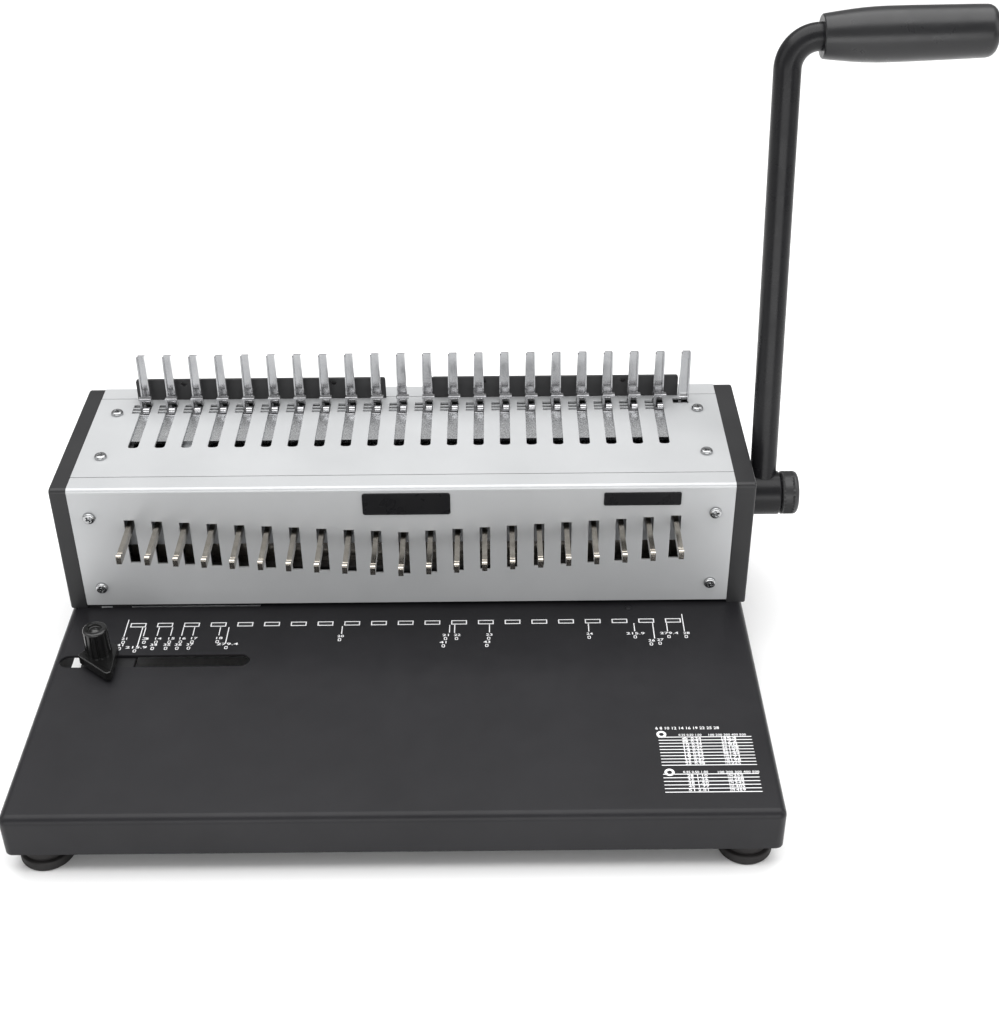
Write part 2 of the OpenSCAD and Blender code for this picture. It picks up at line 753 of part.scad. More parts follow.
// One opener hook, standing on the plate's rear end: side wall, top bar, lip and curled nose
module hook() {
    y0 = rake_rear_y - hook_d;
    top = head_h + hook_h;
    bar_t = 1.5;
    // side wall with a rounded front shoulder
    across(-hook_w / 2, -hook_w / 2 + hook_t) difference() {
        translate([y0, rake_top]) square([hook_d, top - rake_top]);
        corner_waste([y0, top], 1, -1, 3);
        corner_waste([rake_rear_y, top], -1, -1, 1);
    }
    // top bar, rounded at its front, and the lip at its free end
    across(-hook_w / 2, hook_w / 2 + 1.2) difference() {
        translate([y0 + 1.6, top - bar_t]) square([hook_d - 1.6, bar_t]);
        corner_waste([rake_rear_y, top], -1, -1, 1);
    }
    block([hook_w / 2, y0 + 2.4, top - 3.4], [hook_w / 2 + 1.2, rake_rear_y, top - bar_t + 0.2]);
    // curled nose between the walls
    across(-hook_w / 2 + hook_t - 0.2, hook_w / 2) difference() {
        translate([y0 + 2.9, rake_top + 1.2]) circle(2.9);
        translate([y0 - cut, rake_top - 4]) square([2 * hook_d, 4]);
    }
    block([-hook_w / 2, y0 + 4.2, rake_top], [hook_w / 2, rake_rear_y, rake_top + 0.9]);
}

// Sliding plate of the opener, with a finger under each slot
module opener_plate() {
    color(bright) placed() difference() {
        block([-rake_half, rake_front_y, rake_top - rake_t], [rake_half, rake_rear_y, rake_top]);
        for (k = [1 : hole_count - 1])
            block([row_x(k) + finger_half, rake_front_y - cut, rake_top - rake_t - cut],
                  [row_x(k + 1) - finger_half, rake_front_y + finger_l, rake_top + cut]);
    }
}

module opener_hooks() {
    color(bright) placed() for (k = [1 : hole_count]) translate([row_x(k), 0, 0]) hook();
}

// Racks under the opener's plate, one space over each pinion's upper tooth
module opener_racks() {
    color(steel) placed() for (s = [-1, 1]) {
        x0 = s * opener_gear_x - gear_w / 2;
        across(x0, x0 + gear_w) translate([shaft_y - PI_ * gear_module, shaft_z + opener_pitch_r])
            mirror([0, 1, 0]) rack_profile(9, rack_back);
    }
}

// ---- Handle and drive ----

// Spur gear with n teeth and a bore, a tooth pointing along +X
module gear_profile(n) {
    rp = gear_module * n / 2;
    rb = rp * cos(pressure_angle);
    ra = rp + addendum;
    rf = rp - dedendum;
    low = max(rb, rf);
    steps = 4;
    // half of the tooth's angle at its pitch circle
    half = 90 / n - tooth_play / rp * 180 / PI_;
    flank = [for (i = [0 : steps]) let (r = low + (ra - low) * i / steps)
        [r, half + involute(pressure_angle) - involute(acos(min(1, rb / r)))]];
    foot = [rf, flank[0][1] + 1];
    side = concat([foot], flank);
    polygon([for (t = [0 : n - 1]) each concat(
        [for (q = side) [q[0] * cos(t * 360 / n - q[1]), q[0] * sin(t * 360 / n - q[1])]],
        [for (i = [steps + 1 : -1 : 0]) let (q = side[i])
            [q[0] * cos(t * 360 / n + q[1]), q[0] * sin(t * 360 / n + q[1])]])]);
}

// Two gears on the shaft at plus and minus x; turn sets the angle of the first tooth
module gear_pair(x, n, turn) {
    for (s = [-1, 1]) difference() {
        across(s * x - gear_w / 2, s * x + gear_w / 2) translate([shaft_y, shaft_z])
            rotate([0, 0, turn]) gear_profile(n);
        translate([s * x - gear_w, shaft_y, shaft_z]) rotate([0, 90, 0])
            cylinder(r = shaft_r + 0.02, h = 2 * gear_w);
    }
}

module punch_pinions() {
    color(steel) placed() gear_pair(punch_gear_x, punch_teeth, 180);
}

module opener_pinions() {
    color(steel) placed() gear_pair(opener_gear_x, opener_teeth, 90);
}

// Cylinder or ring along X on the shaft's axis
module on_shaft(x0, x1, r, bore = 0) {
    translate([x0, shaft_y, shaft_z]) rotate([0, 90, 0]) difference() {
        cylinder(r = r, h = x1 - x0);
        if (bore > 0) translate([0, 0, -cut]) cylinder(r = bore, h = x1 - x0 + 2 * cut);
    }
}

module drive_shaft() {
    stud_r = 3;
    end = hub_x + hub_l - 1;
    color(steel) placed() difference() {
        on_shaft(-frame_out - 4, end, shaft_r);
        on_shaft(end - 14, end + cut, stud_r + 0.05);
        on_shaft(-frame_out - 2.6, -frame_out - 1.3, shaft_r + cut, shaft_r - 0.8);
    }
}

module shaft_bushes() {
    bore = shaft_r + shaft_fit;
    color(bronze) placed() for (s = [-1, 1]) mirror([s < 0 ? 1 : 0, 0, 0]) {
        on_shaft(frame_in, frame_out, shaft_r + bush_wall - 0.02, bore);
        on_shaft(frame_in - bush_flange, frame_in, shaft_r + bush_wall + 2.5, bore);
    }
}

// Retaining ring in the groove at the shaft's left end
module shaft_collar() {
    color(steel) placed() on_shaft(-frame_out - 2.5, -frame_out - 1.4, shaft_r + 3, shaft_r - 0.75);
}

// Hub, with a chamfered collar towards the cover
module handle_hub() {
    color(black) placed() difference() {
        union() {
            on_shaft(hub_x, hub_x + hub_l, hub_r);
            on_shaft(hub_x - 0.5, hub_x + 1, hub_r - 2.4);
        }
        on_shaft(hub_x - cut, hub_x + hub_l + cut, shaft_r + 0.02);
    }
}

// Frame of the rod: shaft's axis at the origin, Z along the leaning rod
module along_rod() {
    translate([rod_x, shaft_y, shaft_z]) rotate([-lean, 0, 0]) children();
}

module handle_rod() {
    color(black) placed() difference() {
        along_rod() {
            translate([0, 0, hub_r - 3]) cylinder(r = rod_r, h = arm_l - bend_r - hub_r + 3);
            translate([bend_r, 0, arm_l - bend_r]) rotate([90, 0, 0])
                rotate([0, 0, 90]) rotate_extrude(angle = 90) translate([bend_r, 0]) circle(rod_r);
            translate([bend_r, 0, arm_l]) rotate([0, 90, 0]) cylinder(r = rod_r, h = grip_l - 8);
        }
        on_shaft(hub_x - cut, hub_x + hub_l + cut, hub_r + 0.01);
    }
}

// Grip: a turned sleeve with a slim neck, a swelling body and a rounded end
module handle_grip() {
    taper = 0.34 * grip_l;
    steps = 8;
    end_r = 5;
    bore = rod_r + 0.05;
    color(black) placed() along_rod() translate([grip_x - rod_x, 0, arm_l]) rotate([0, 90, 0]) difference() {
        rotate_extrude() difference() {
            polygon(concat(
                [[0, 0], [neck_r - 1, 0]],
                [for (i = [0 : steps]) let (t = i / steps)
                    [neck_r + (grip_r - neck_r) * sin(90 * t), 1 + (taper - 1) * t]],
                [[grip_r, grip_l], [0, grip_l]]));
            corner_waste([grip_r, grip_l], -1, -1, end_r);
        }
        translate([0, 0, -cut]) cylinder(r = bore, h = grip_l - 7 + cut);
    }
}

// Clamp knob on the hub's end: straight knurl, rounded outer edge, threaded stud
module clamp_knob() {
    r = hub_r - 0.15;
    x0 = hub_x + hub_l + gap;
    ribs = 36;
    groove = 0.6;
    color(black) placed() {
        intersection() {
            // star whose points pass the rim, so that each rib keeps a narrow land
            across(x0 - cut, x0 + knob_l + cut) translate([shaft_y, shaft_z])
                polygon([for (i = [0 : 2 * ribs - 1]) let (q = i % 2 == 0 ? r + 0.5 : r - groove)
                    [q * cos(i * 180 / ribs), q * sin(i * 180 / ribs)]]);
            translate([x0, shaft_y, shaft_z]) rotate([0, 90, 0]) rotate_extrude() difference() {
                square([r, knob_l]);
                corner_waste([r, knob_l], -1, -1, 1.8);
            }
        }
        on_shaft(x0 - 11, x0 + 0.5, 3);
    }
}

// ---- Margin guide ----

// Slider under the table: plate, tongue in the slot, strip and stop in the paper throat
module guide_slider() {
    top = -base_sheet - gap;
    color(black) placed() difference() {
        union() {
            block([guide_x - slider_left, guide_slot_y - slider_half, top - slider_t],
                  [guide_x + slider_right, guide_slot_y + slider_half, top]);
            translate([guide_x - 8, guide_slot_y, top - 0.1])
                stadium(16, guide_slot_w - 2 * gap, base_sheet + gap - 0.1);
            block([guide_x - 3, guide_slot_y, top - 1.5], [guide_x + 7, stop_y + stop_d, top]);
            block([guide_x - 3, stop_y, top - 0.5], [guide_x + 7, stop_y + stop_d, throat_h - gap]);
        }
        translate([guide_x, guide_slot_y, top - slider_t - cut]) cylinder(r = 2.55, h = slider_t + 5);
    }
}

// Knob with a washer, a triangular pointer and the clamping stud
module guide_knob() {
    washer_t = 1.3;
    pointer_t = 4.8;
    knob_z = washer_t + pointer_t;
    corner = 2;
    wing_r = 10.4;
    tip_turn = -64;
    flutes = 14;
    rim_h = 1.6;
    color(black) placed() translate([guide_x, guide_slot_y, gap]) {
        cylinder(r = guide_knob_r + 0.4, h = washer_t + 0.1);
        translate([0, 0, washer_t]) linear_extrude(pointer_t) rotate(tip_turn) hull() {
            circle(guide_knob_r + 0.1);
            translate([pointer_r - corner, 0]) circle(corner);
            for (a = [-102, 102]) rotate(a) translate([wing_r - corner, 0]) circle(corner);
        }
        translate([0, 0, knob_z]) linear_extrude(guide_knob_h - rim_h) difference() {
            circle(guide_knob_r);
            for (i = [0 : flutes - 1]) rotate([0, 0, i * 360 / flutes])
                translate([guide_knob_r + 0.35, 0]) circle(0.95);
        }
        // smooth rim round the sunk top
        translate([0, 0, knob_z + guide_knob_h - rim_h]) rotate_extrude() difference() {
            square([guide_knob_r - 0.65, rim_h]);
            translate([0, 0.2]) square([3.4, rim_h]);
            corner_waste([guide_knob_r - 0.65, rim_h], -1, -1, 0.7);
        }
        translate([0, 0, -base_sheet - gap - slider_t - 3]) cylinder(r = 2.5, h = base_sheet + gap + slider_t + 3);
    }
}

// ---- Chip tray ----

module chip_tray() {
    half = tray_w / 2;
    color(black) placed() {
        difference() {
            union() {
                block([-half, tray_y, tray_low], [half, back_y, tray_top]);
                for (s = [-1, 1]) block([s > 0 ? half - 1 : -half - tray_rim + gap, tray_y, tray_top - 1.4],
                                        [s > 0 ? half + tray_rim - gap : -half + 1, back_y, tray_top]);
            }
            block([-half + tray_wall, tray_y + tray_wall, tray_low + tray_wall],
                  [half - tray_wall, back_y - tray_wall, tray_top + cut]);
        }
        // finger lip across the back
        translate([0, back_y, tray_low]) across(-24, 24)
            polygon([[-0.1, 0], [tray_lip, 0], [tray_lip, tray_wall], [tray_wall, tray_wall], [-0.1, 2 * tray_wall]]);
    }
}

// Runners under the table that carry the tray's rims
module tray_runners() {
    inner = tray_w / 2 + gap;
    color(steel) placed() for (s = [-1, 1]) mirror([s < 0 ? 1 : 0, 0, 0]) {
        block([inner, block_y + 1, tray_top - 1.4 - gap - runner_t],
              [inner + tray_rim + runner_t, back_y - base_r - 1, tray_top - 1.4 - gap]);
        block([inner + tray_rim, block_y + block_d + die_ledge + 1, tray_top - 1.4 - gap - runner_t],
              [inner + tray_rim + runner_t, back_y - base_r - 1, -base_sheet]);
    }
}

base_shell();
rubber_feet();
foot_screws();
side_frame_left();
side_frame_right();
side_cover_left();
side_cover_right();
front_cover();
top_panel();
rear_cover();
die_plate();
paper_backstop();
punch_guide();
fixed_tines();
tine_rail();
comb_rests();
opener_rails();
shaft_bushes();
cover_screws();
frame_screws();
tray_runners();
drive_shaft();
punch_pinions();
opener_pinions();
shaft_collar();
handle_hub();
handle_rod();
handle_grip();
clamp_knob();
punch_bar();
punch_pins();
opener_plate();
opener_hooks();
opener_racks();
guide_slider();
guide_knob();
chip_tray();
for (k = [1 : hole_count]) pin_pull(k);
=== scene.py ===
"""Looks of a comb binding machine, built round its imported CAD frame.

Sizes are in millimetres in the drawing frame of the machine: X from the middle of the base to the
handle, Y from the base's front face to the back, and Z up from the base's flat top. Datum turns
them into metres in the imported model's frame. Every sub-assembly is a class that builds its pieces
with the shared Bench tools and dresses them in the finishes below.
"""

from __future__ import annotations

import json
import logging
import math
from dataclasses import dataclass
from enum import Enum
from typing import Callable, Sequence

import bpy
from mathutils import Matrix, Vector


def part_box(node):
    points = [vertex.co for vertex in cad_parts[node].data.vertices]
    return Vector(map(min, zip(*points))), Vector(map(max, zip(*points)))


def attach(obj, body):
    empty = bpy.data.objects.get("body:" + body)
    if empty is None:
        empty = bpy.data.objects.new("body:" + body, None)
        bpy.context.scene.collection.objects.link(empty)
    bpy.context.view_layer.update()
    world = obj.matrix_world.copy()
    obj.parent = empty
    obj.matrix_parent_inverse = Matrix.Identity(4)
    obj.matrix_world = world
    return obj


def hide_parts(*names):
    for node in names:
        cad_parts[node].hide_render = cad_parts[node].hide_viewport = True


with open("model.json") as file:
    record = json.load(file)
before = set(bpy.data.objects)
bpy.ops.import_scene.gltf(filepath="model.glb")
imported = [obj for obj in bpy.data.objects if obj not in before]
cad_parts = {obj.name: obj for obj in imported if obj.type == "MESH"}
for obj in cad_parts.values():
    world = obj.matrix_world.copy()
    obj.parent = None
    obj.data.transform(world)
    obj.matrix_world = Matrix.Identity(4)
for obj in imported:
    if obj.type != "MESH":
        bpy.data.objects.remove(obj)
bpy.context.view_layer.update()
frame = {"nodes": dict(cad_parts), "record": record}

LOG = logging.getLogger("comb_binder")
# Metres in a millimetre, and the distance in millimetres under which two places are one.
MM = 0.001
NEAR = 0.01
Pair = tuple[float, float]
Point = tuple[float, float, float]
Box = tuple[Point, Point]


class Turn(Enum):
    """Direction in which a turned piece's axis points."""

    RIGHT = (0.0, 90.0, 0.0)
    FRONT = (90.0, 0.0, 0.0)
    BACK = (-90.0, 0.0, 0.0)
    UP = (0.0, 0.0, 0.0)


class Pick(Enum):
    """Kind of mesh element that a tool selects."""

    VERTS = "VERT"
    EDGES = "EDGE"
    FACES = "FACE"


@dataclass(frozen=True)
class Datum:
    """Zero of the drawing: middle of the base, its front face and its flat top, in metres."""

    x: float
    y: float
    z: float

    @classmethod
    def of_base(cls, node: str) -> "Datum":
        """Reads the datum from the CAD base.

        Args:
            node: Name of the base's CAD node.

        Returns:
            The datum at the base's middle, front and top.
        """
        low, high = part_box(node)
        return cls((low.x + high.x) / 2, low.y, high.z)

    def at(self, x: float, y: float, z: float) -> Vector:
        """Turns a drawing point into metres in the model's frame.

        Args:
            x: Millimetres to the right of the middle.
            y: Millimetres behind the front face.
            z: Millimetres above the base's top.

        Returns:
            The point in metres.
        """
        return Vector((self.x + x * MM, self.y + y * MM, self.z + z * MM))

    def box(self, node: str) -> tuple[Vector, Vector]:
        """Gives a CAD node's box in the drawing frame.

        Args:
            node: Name of the CAD node.

        Returns:
            Its low and high corners in millimetres.
        """
        low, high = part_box(node)
        zero = Vector((self.x, self.y, self.z))
        return (low - zero) / MM, (high - zero) / MM


DATUM = Datum.of_base("base_shell")
# The cross shaft that carries the handle, behind the front face and above the table.
SHAFT: Pair = (196.0, 46.3)


# ---- Finishes ----


class Shader:
    """A material under construction: one Principled shader and the nodes that feed it."""

    def __init__(self, name: str) -> None:
        """Starts a material.

        Args:
            name: Name of the finish.
        """
        self.material = bpy.data.materials.new(name)
        self.material.use_nodes = True
        self.tree = self.material.node_tree
        self.skin = self.tree.nodes["Principled BSDF"]
        self.place = self.tree.nodes.new("ShaderNodeTexCoord").outputs["Object"]

    def set(self, **values: object) -> None:
        """Sets constants on the shader's own sockets; an underscore stands for a space.

        Args:
            **values: The sockets and their values.
        """
        for key, value in values.items():
            self.skin.inputs[key.replace("_", " ")].default_value = value

    def link(self, source: bpy.types.NodeSocket, socket: str) -> None:
        """Feeds an output to one of the shader's sockets."""
        self.tree.links.new(source, self.skin.inputs[socket])

    def mapped(self, scale: Point, turn: Point = (0.0, 0.0, 0.0)) -> bpy.types.NodeSocket:
        """Stretches or turns the object's coordinates.

        Args:
            scale: Factor along each axis.
            turn: Rotation about each axis, degrees.

        Returns:
            The mapped coordinates.
        """
        node = self.tree.nodes.new("ShaderNodeMapping")
        node.inputs["Scale"].default_value = scale
        node.inputs["Rotation"].default_value = [math.radians(t) for t in turn]
        self.tree.links.new(self.place, node.inputs["Vector"])
        return node.outputs["Vector"]

    def noise(
        self,
        size_mm: float,
        detail: float = 2.0,
        rough: float = 0.5,
        warp: float = 0.0,
        vector: bpy.types.NodeSocket | None = None,
    ) -> bpy.types.NodeSocket:
        """Adds a noise pattern.

        Args:
            size_mm: Size of its blotches, millimetres.
            detail: Octaves of finer detail.
            rough: Strength of the finer detail.
            warp: Distortion.
            vector: Coordinates, the object's own unless given.

        Returns:
            The pattern's value, from 0 to 1.
        """
        node = self.tree.nodes.new("ShaderNodeTexNoise")
        node.inputs["Scale"].default_value = 1.0 / (size_mm * MM)
        node.inputs["Detail"].default_value = detail
        node.inputs["Roughness"].default_value = rough
        node.inputs["Distortion"].default_value = warp
        self.tree.links.new(vector or self.place, node.inputs["Vector"])
        return node.outputs["Fac"]

    def cells(self, size_mm: float) -> bpy.types.NodeSocket:
        """Adds a cell pattern.

        Args:
            size_mm: Size of a cell, millimetres.

        Returns:
            Distance to the nearest cell's middle.
        """
        node = self.tree.nodes.new("ShaderNodeTexVoronoi")
        node.inputs["Scale"].default_value = 1.0 / (size_mm * MM)
        self.tree.links.new(self.place, node.inputs["Vector"])
        return node.outputs["Distance"]

    def span(
        self,
        value: bpy.types.NodeSocket,
        low: float,
        high: float,
        start: float = 0.3,
        end: float = 0.7,
    ) -> bpy.types.NodeSocket:
        """Maps a pattern's middle range to new limits.

        Args:
            value: The pattern.
            low: Result at start.
            high: Result at end.
            start: Pattern value that gives low.
            end: Pattern value that gives high.

        Returns:
            The mapped value.
        """
        node = self.tree.nodes.new("ShaderNodeMapRange")
        limits = {"From Min": start, "From Max": end, "To Min": low, "To Max": high}
        for key, number in limits.items():
            node.inputs[key].default_value = number
        self.tree.links.new(value, node.inputs["Value"])
        return node.outputs["Result"]

    def tint(
        self,
        value: bpy.types.NodeSocket,
        dark: Point,
        light: Point,
        start: float = 0.3,
        end: float = 0.7,
    ) -> bpy.types.NodeSocket:
        """Colours a pattern between two tones.

        Args:
            value: The pattern.
            dark: Linear colour at start.
            light: Linear colour at end.
            start: Pattern value of the dark tone.
            end: Pattern value of the light tone.

        Returns:
            The colour.
        """
        node = self.tree.nodes.new("ShaderNodeValToRGB")
        node.color_ramp.elements[0].position = start
        node.color_ramp.elements[0].color = (*dark, 1.0)
        node.color_ramp.elements[1].position = end
        node.color_ramp.elements[1].color = (*light, 1.0)
        self.tree.links.new(value, node.inputs["Fac"])
        return node.outputs["Color"]

    def bump(
        self,
        height: bpy.types.NodeSocket,
        depth_mm: float,
        strength: float = 1.0,
        over: bpy.types.NodeSocket | None = None,
    ) -> bpy.types.NodeSocket:
        """Adds relief.

        Args:
            height: Pattern of the relief.
            depth_mm: Its depth, millimetres.
            strength: How much of it shows.
            over: Relief that this one is added to.

        Returns:
            The surface normal.
        """
        node = self.tree.nodes.new("ShaderNodeBump")
        node.inputs["Distance"].default_value = depth_mm * MM
        node.inputs["Strength"].default_value = strength
        self.tree.links.new(height, node.inputs["Height"])
        if over is not None:
            self.tree.links.new(over, node.inputs["Normal"])
        return node.outputs["Normal"]


@dataclass(frozen=True)
class Coating:
    """An even paint, powder coat, rubber, ink or moulded plastic with fine grain and soft blotches.

    Attributes:
        name: Name of the material.
        dark: Linear colour of its darker blotches.
        light: Linear colour of its lighter blotches.
        rough: Roughness at the two ends of its wear pattern.
        grain_mm: Size of its grain.
        depth_mm: Depth of its grain.
        level: Specular level.
    """

    name: str
    dark: Point
    light: Point
    rough: Pair
    grain_mm: float
    depth_mm: float
    level: float = 0.5

    def build(self) -> bpy.types.Material:
        """Makes the material.

        Returns:
            The finished material.
        """
        shader = Shader(self.name)
        shader.set(Metallic=0.0, Specular_IOR_Level=self.level)
        blotch = shader.noise(38.0, 3.0, 0.55)
        shader.link(shader.tint(blotch, self.dark, self.light), "Base Color")
        wear = shader.noise(9.0, 4.0, 0.6, 0.4)
        shader.link(shader.span(wear, *self.rough), "Roughness")
        peel = shader.bump(shader.noise(self.grain_mm * 6.0, 1.0), self.depth_mm * 2.0, 0.35)
        grain = shader.bump(shader.noise(self.grain_mm, 2.0, 0.6), self.depth_mm, 0.8, peel)
        shader.link(grain, "Normal")
        return shader.material


@dataclass(frozen=True)
class Metal:
    """A bare or plated metal, brushed along one axis, with faint handling marks.

    Attributes:
        name: Name of the material.
        dark: Linear colour of its darker smears.
        light: Linear colour of its lighter smears.
        rough: Roughness at the two ends of the brush pattern.
        brush: Stretch of the brush pattern; a low figure draws it out along that axis.
        brush_mm: Size of the brush pattern.
        depth_mm: Depth of the brush lines.
        smear_mm: Size of the smears.
    """

    name: str
    dark: Point
    light: Point
    rough: Pair
    brush: Point = (1.0, 1.0, 1.0)
    brush_mm: float = 0.5
    depth_mm: float = 0.004
    smear_mm: float = 12.0

    def build(self) -> bpy.types.Material:
        """Makes the material.

        Returns:
            The finished material.
        """
        shader = Shader(self.name)
        shader.set(Metallic=1.0)
        smear = shader.noise(self.smear_mm, 4.0, 0.6, 0.6)
        shader.link(shader.tint(smear, self.dark, self.light), "Base Color")
        lines = shader.noise(self.brush_mm, 3.0, 0.7, 0.0, shader.mapped(self.brush))
        shader.link(shader.span(lines, *self.rough), "Roughness")
        shader.link(shader.bump(lines, self.depth_mm, 0.6), "Normal")
        return shader.material


@dataclass(frozen=True)
class FlakePaint:
    """Silver paint on sheet steel: bright flakes under a satin film.

    Attributes:
        name: Name of the material.
        dark: Linear colour of its darker clouds.
        light: Linear colour of its lighter clouds.
        rough: Roughness in a flake's middle and at its rim.
        metallic: Share of metal.
        flake_mm: Size of a flake.
    """

    name: str
    dark: Point
    light: Point
    rough: Pair
    metallic: float = 0.25
    flake_mm: float = 0.35

    def build(self) -> bpy.types.Material:
        """Makes the material.

        Returns:
            The finished material.
        """
        shader = Shader(self.name)
        shader.set(Metallic=self.metallic)
        cloud = shader.noise(60.0, 4.0, 0.5)
        shader.link(shader.tint(cloud, self.dark, self.light), "Base Color")
        flakes = shader.cells(self.flake_mm)
        shader.link(shader.span(flakes, *self.rough, 0.1, 0.8), "Roughness")
        ripple = shader.bump(shader.noise(26.0, 1.0), 0.02, 0.5)
        shader.link(shader.bump(flakes, 0.012, 0.35, ripple), "Normal")
        return shader.material


class Finish(Enum):
    """Finishes of the machine: the record's slot, and after a stroke what it is kept for."""

    CHARCOAL = "charcoal_paint"
    COVER = "charcoal_paint/covers"
    WHITE = "charcoal_paint/white_ink"
    BLACK = "charcoal_paint/black_ink"
    SILVER = "silver_paint"
    CHROME = "bright_chrome"
    TINE = "bright_chrome/tines"
    ZINC = "bright_chrome/screws"
    HOOK = "bright_chrome/hooks"
    NICKEL = "nickel_plate"
    STEEL = "ground_steel"
    BLACKED = "blacked_steel"
    ENAMEL = "black_enamel"
    GRIP = "grip_plastic"
    GLOSS = "knob_plastic"
    TRAY = "tray_plastic"
    RUBBER = "foot_rubber"
    BRONZE = "bronze_bush"


MAKERS: dict[Finish, Coating | Metal | FlakePaint] = {
    Finish.CHARCOAL: Coating(
        "charcoal powder coat", (0.0125, 0.0122, 0.0138), (0.0158, 0.0155, 0.0174),
        rough=(0.34, 0.42), grain_mm=0.35, depth_mm=0.012, level=0.2,
    ),
    # A lighter copy of the charcoal powder coat for the side covers: their extra lightness is
    # painted light, standing in for the light that falls on the covers.
    Finish.COVER: Coating(
        "lit side cover paint", (0.0180, 0.0180, 0.0190), (0.0225, 0.0225, 0.0235),
        rough=(0.34, 0.42), grain_mm=0.35, depth_mm=0.012, level=0.3,
    ),
    Finish.WHITE: Coating(
        "white ink", (0.80, 0.80, 0.81), (0.90, 0.90, 0.91),
        rough=(0.45, 0.6), grain_mm=0.25, depth_mm=0.01,
    ),
    Finish.BLACK: Coating(
        "black ink", (0.008, 0.008, 0.009), (0.014, 0.014, 0.016),
        rough=(0.55, 0.4), grain_mm=0.25, depth_mm=0.01,
    ),
    Finish.SILVER: FlakePaint(
        "silver flake paint", (0.45, 0.458, 0.465), (0.50, 0.508, 0.515), rough=(0.31, 0.42)
    ),
    Finish.CHROME: Metal(
        "bright chrome", (0.66, 0.67, 0.68), (0.76, 0.77, 0.78),
        rough=(0.22, 0.34), brush=(1.0, 1.0, 0.2), brush_mm=0.8, depth_mm=0.002,
    ),
    Finish.TINE: Metal(
        "satin chrome", (0.62, 0.62, 0.63), (0.72, 0.72, 0.73),
        rough=(0.16, 0.26), brush=(1.0, 1.0, 0.1),
    ),
    Finish.ZINC: Metal(
        "bright zinc", (0.34, 0.345, 0.35), (0.46, 0.465, 0.47), rough=(0.14, 0.26), brush_mm=0.6
    ),
    # A darker copy of the bright chrome for the hooks: painted shade, standing in for the shade
    # down in the comb slots.
    Finish.HOOK: Metal(
        "shaded hook chrome", (0.38, 0.38, 0.39), (0.50, 0.50, 0.51),
        rough=(0.17, 0.26), brush=(1.0, 1.0, 0.4), brush_mm=0.6, depth_mm=0.003,
    ),
    Finish.NICKEL: Metal(
        "satin nickel", (0.36, 0.33, 0.29), (0.52, 0.49, 0.44),
        rough=(0.14, 0.26), brush=(1.0, 0.08, 1.0), brush_mm=0.3, depth_mm=0.006, smear_mm=5.0,
    ),
    Finish.STEEL: Metal(
        "ground steel", (0.34, 0.35, 0.36), (0.46, 0.47, 0.48),
        rough=(0.28, 0.42), brush=(0.06, 1.0, 1.0), brush_mm=0.3,
    ),
    Finish.BLACKED: Coating(
        "blackened steel", (0.026, 0.026, 0.027), (0.038, 0.038, 0.039),
        rough=(0.30, 0.42), grain_mm=0.3, depth_mm=0.01, level=0.35,
    ),
    Finish.ENAMEL: Coating(
        "satin black enamel", (0.007, 0.007, 0.008), (0.011, 0.011, 0.012),
        rough=(0.24, 0.34), grain_mm=0.5, depth_mm=0.008, level=0.22,
    ),
    Finish.GRIP: Coating(
        "grip plastic", (0.008, 0.008, 0.009), (0.014, 0.014, 0.015),
        rough=(0.26, 0.38), grain_mm=0.5, depth_mm=0.03, level=0.4,
    ),
    Finish.GLOSS: Coating(
        "gloss knob plastic", (0.005, 0.005, 0.005), (0.008, 0.008, 0.008),
        rough=(0.14, 0.24), grain_mm=0.8, depth_mm=0.01,
    ),
    Finish.TRAY: Coating(
        "tray plastic", (0.010, 0.010, 0.011), (0.016, 0.016, 0.017),
        rough=(0.45, 0.6), grain_mm=0.5, depth_mm=0.03, level=0.3,
    ),
    Finish.RUBBER: Coating(
        "foot rubber", (0.010, 0.009, 0.009), (0.017, 0.015, 0.015),
        rough=(0.55, 0.75), grain_mm=0.4, depth_mm=0.03, level=0.3,
    ),
    Finish.BRONZE: Metal(
        "sintered bronze", (0.42, 0.27, 0.13), (0.58, 0.38, 0.2), rough=(0.3, 0.45), brush_mm=0.25
    ),
}


class Wardrobe:
    """Builds each finish once and puts it on pieces and CAD nodes."""

    def __init__(self) -> None:
        """Starts with nothing built."""
        self.made: dict[Finish, bpy.types.Material] = {}

    def get(self, finish: Finish) -> bpy.types.Material:
        """Gives a finish's material, building it at first use.

        Args:
            finish: The finish.

        Returns:
            Its material.
        """
        if finish not in self.made:
            self.made[finish] = MAKERS[finish].build()
        return self.made[finish]

    def dress(self, piece: bpy.types.Object, finish: Finish) -> None:
        """Puts a finish on a piece.

        Args:
            piece: The piece.
            finish: Its finish.
        """
        piece.data.materials.clear()
        piece.data.materials.append(self.get(finish))

    def dress_frame(self) -> None:
        """Gives every CAD node the finish that the record names for it."""
        for entry in frame["record"]["subparts"]:
            node = frame["nodes"][entry["node"]]
            material = self.get(Finish(entry["material_slot"]))
            for slot in node.material_slots:
                slot.material = material


# ---- Hand tools ----


